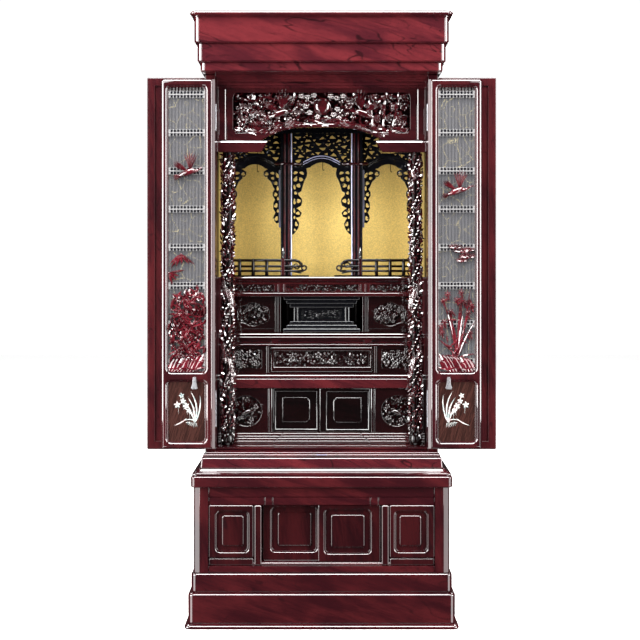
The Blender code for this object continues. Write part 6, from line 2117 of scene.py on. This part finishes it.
    def orchid(self, side):
        """Bowed leaves, five blossoms and grass, inlaid in the board."""
        work = Carving(on_front(ORCHID_FACE), 131)
        at = lambda x, z: (side * x, z)
        root = at(0.36, 0.564)

        def leaf(start, angle, size, width, bend, steps=7):
            turn = angle if side > 0 else math.pi - angle
            work.leaf(*start, turn, size, width, bend * side, -0.0004, 0.0, 0.0009, steps)

        for angle, size, width, bend in ((1.95, 0.1, 0.0034, -1.05), (1.75, 0.082, 0.0032, -0.9),
            (1.55, 0.062, 0.0026, -1.3), (1.25, 0.05, 0.0022, 0.7), (2.25, 0.05, 0.0024, -0.8),
            (2.12, 0.088, 0.003, -0.75), (1.4, 0.072, 0.0024, -0.5)):
            leaf(root, angle, size, width, bend)
        leaf(at(0.356, 0.568), 0.75, 0.034, 0.0026, -1.3)
        leaf(at(0.38, 0.579), -0.75, 0.046, 0.003, 0.5)
        for k in range(8):
            leaf(at(0.356 + 0.002 * k, 0.568), -1.9 + 0.24 * k, 0.018, 0.0012, 0.2, 3)
        for x, z, size in ((0.396, 0.642, 0.0085), (0.408, 0.616, 0.0105), (0.383, 0.613, 0.01),
            (0.392, 0.627, 0.009), (0.376, 0.6, 0.008)):
            for petal in range(5):
                turn = math.tau * petal / 5 + x * 90
                work.leaf(side * x, z, turn, size * 1.05, size * 0.4, 0.3, -0.0004, 0.0, 0.001, 3)
            work.dome(side * x, z, size * 0.16, 0.0012, -0.0002, 6)
            leaf(at(x, z), -1.9, 0.03, 0.0008, 0.5, 4)
        return work.make("orchid")

    def pull(self, side):
        name = SIDES[side]
        low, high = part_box(f"door_pull_{name}")
        x, z = (low.x + high.x) / 2, (low.z + high.z) / 2
        outline = [(x + wide, z + tall) for wide, tall in ((-0.0036, 0.017), (0.0036, 0.017),
                (0.0048, 0.012), (0.0052, 0.003), (0.0072, -0.008), (0.0094, -0.014), (0.0066, -0.0176),
                (-0.0066, -0.0176), (-0.0094, -0.014), (-0.0072, -0.008), (-0.0052, 0.003),
                (-0.0048, 0.012))]
        plate = cut_out("plate", [outline], low.y, high.y, 0.0005)
        work = Carving(on_front(low.y + 0.0003), 3)
        work.dome(x, z + 0.0105, 0.0026, 0.0003, -0.0001, 12)
        work.ring(x, z - 0.006, 0.0036, 0.0003, -0.0002, 5, 14)
        made = gather(f"door_pull_plate_{name}", [plate, work.make("boss")])
        hang(made, "silver", f"door_pull_{name}")

    def hinges(self, side):
        """Barrels where the leaves meet the cabinet."""
        name = SIDES[side]
        parts = []
        for low, high in ((1.392, 1.469), (0.552, 0.656)):
            x, y = side * 0.3004, HINGE_Y
            for k in range(3):
                bottom = low + (high - low) * k / 3
                parts.append(
                    tube("barrel", [(x, y, bottom + 0.0004), (x, y, bottom + (high - low) / 3 - 0.0004)],
                        0.0012, 12))
        hang(gather(f"hinge_barrels_{name}", parts), "silver")


OPERATORS = (
    ALTAR_OT_stage,
    ALTAR_OT_plinth,
    ALTAR_OT_base_body,
    ALTAR_OT_base_top,
    ALTAR_OT_carcass,
    ALTAR_OT_cornice,
    ALTAR_OT_transom,
    ALTAR_OT_nageshi,
    ALTAR_OT_pillars,
    ALTAR_OT_shrine,
    ALTAR_OT_railings,
    ALTAR_OT_shelves,
    ALTAR_OT_steps,
    ALTAR_OT_small_doors,
    ALTAR_OT_tray,
    ALTAR_OT_outer_doors,
    ALTAR_OT_lattice_doors,
    ALTAR_OT_door_carvings,
)


class ALTAR_PT_panel(bpy.types.Panel):
    """The altar's sizes, colours and makers in the sidebar"""
    bl_idname = "ALTAR_PT_panel"
    bl_label = "Home altar"
    bl_space_type = "VIEW_3D"
    bl_region_type = "UI"
    bl_category = "Altar"

    def draw(self, context):
        layout = self.layout
        for group in (context.scene.altar_sizes, context.scene.altar_colours):
            box = layout.box()
            for name in group.__annotations__:
                box.prop(group, name)
        for operator in OPERATORS:
            layout.operator(operator.bl_idname)


def register():
    for kind in (AltarSizes, AltarColours, *OPERATORS, ALTAR_PT_panel):
        bpy.utils.register_class(kind)
    bpy.types.Scene.altar_sizes = PointerProperty(type=AltarSizes)
    bpy.types.Scene.altar_colours = PointerProperty(type=AltarColours)


def unregister():
    del bpy.types.Scene.altar_colours
    del bpy.types.Scene.altar_sizes
    for kind in reversed((AltarSizes, AltarColours, *OPERATORS, ALTAR_PT_panel)):
        bpy.utils.unregister_class(kind)


def main():
    register()
    for operator in OPERATORS:
        group, name = operator.bl_idname.split(".")
        getattr(getattr(bpy.ops, group), name)()


if __name__ == "__main__":
    main()
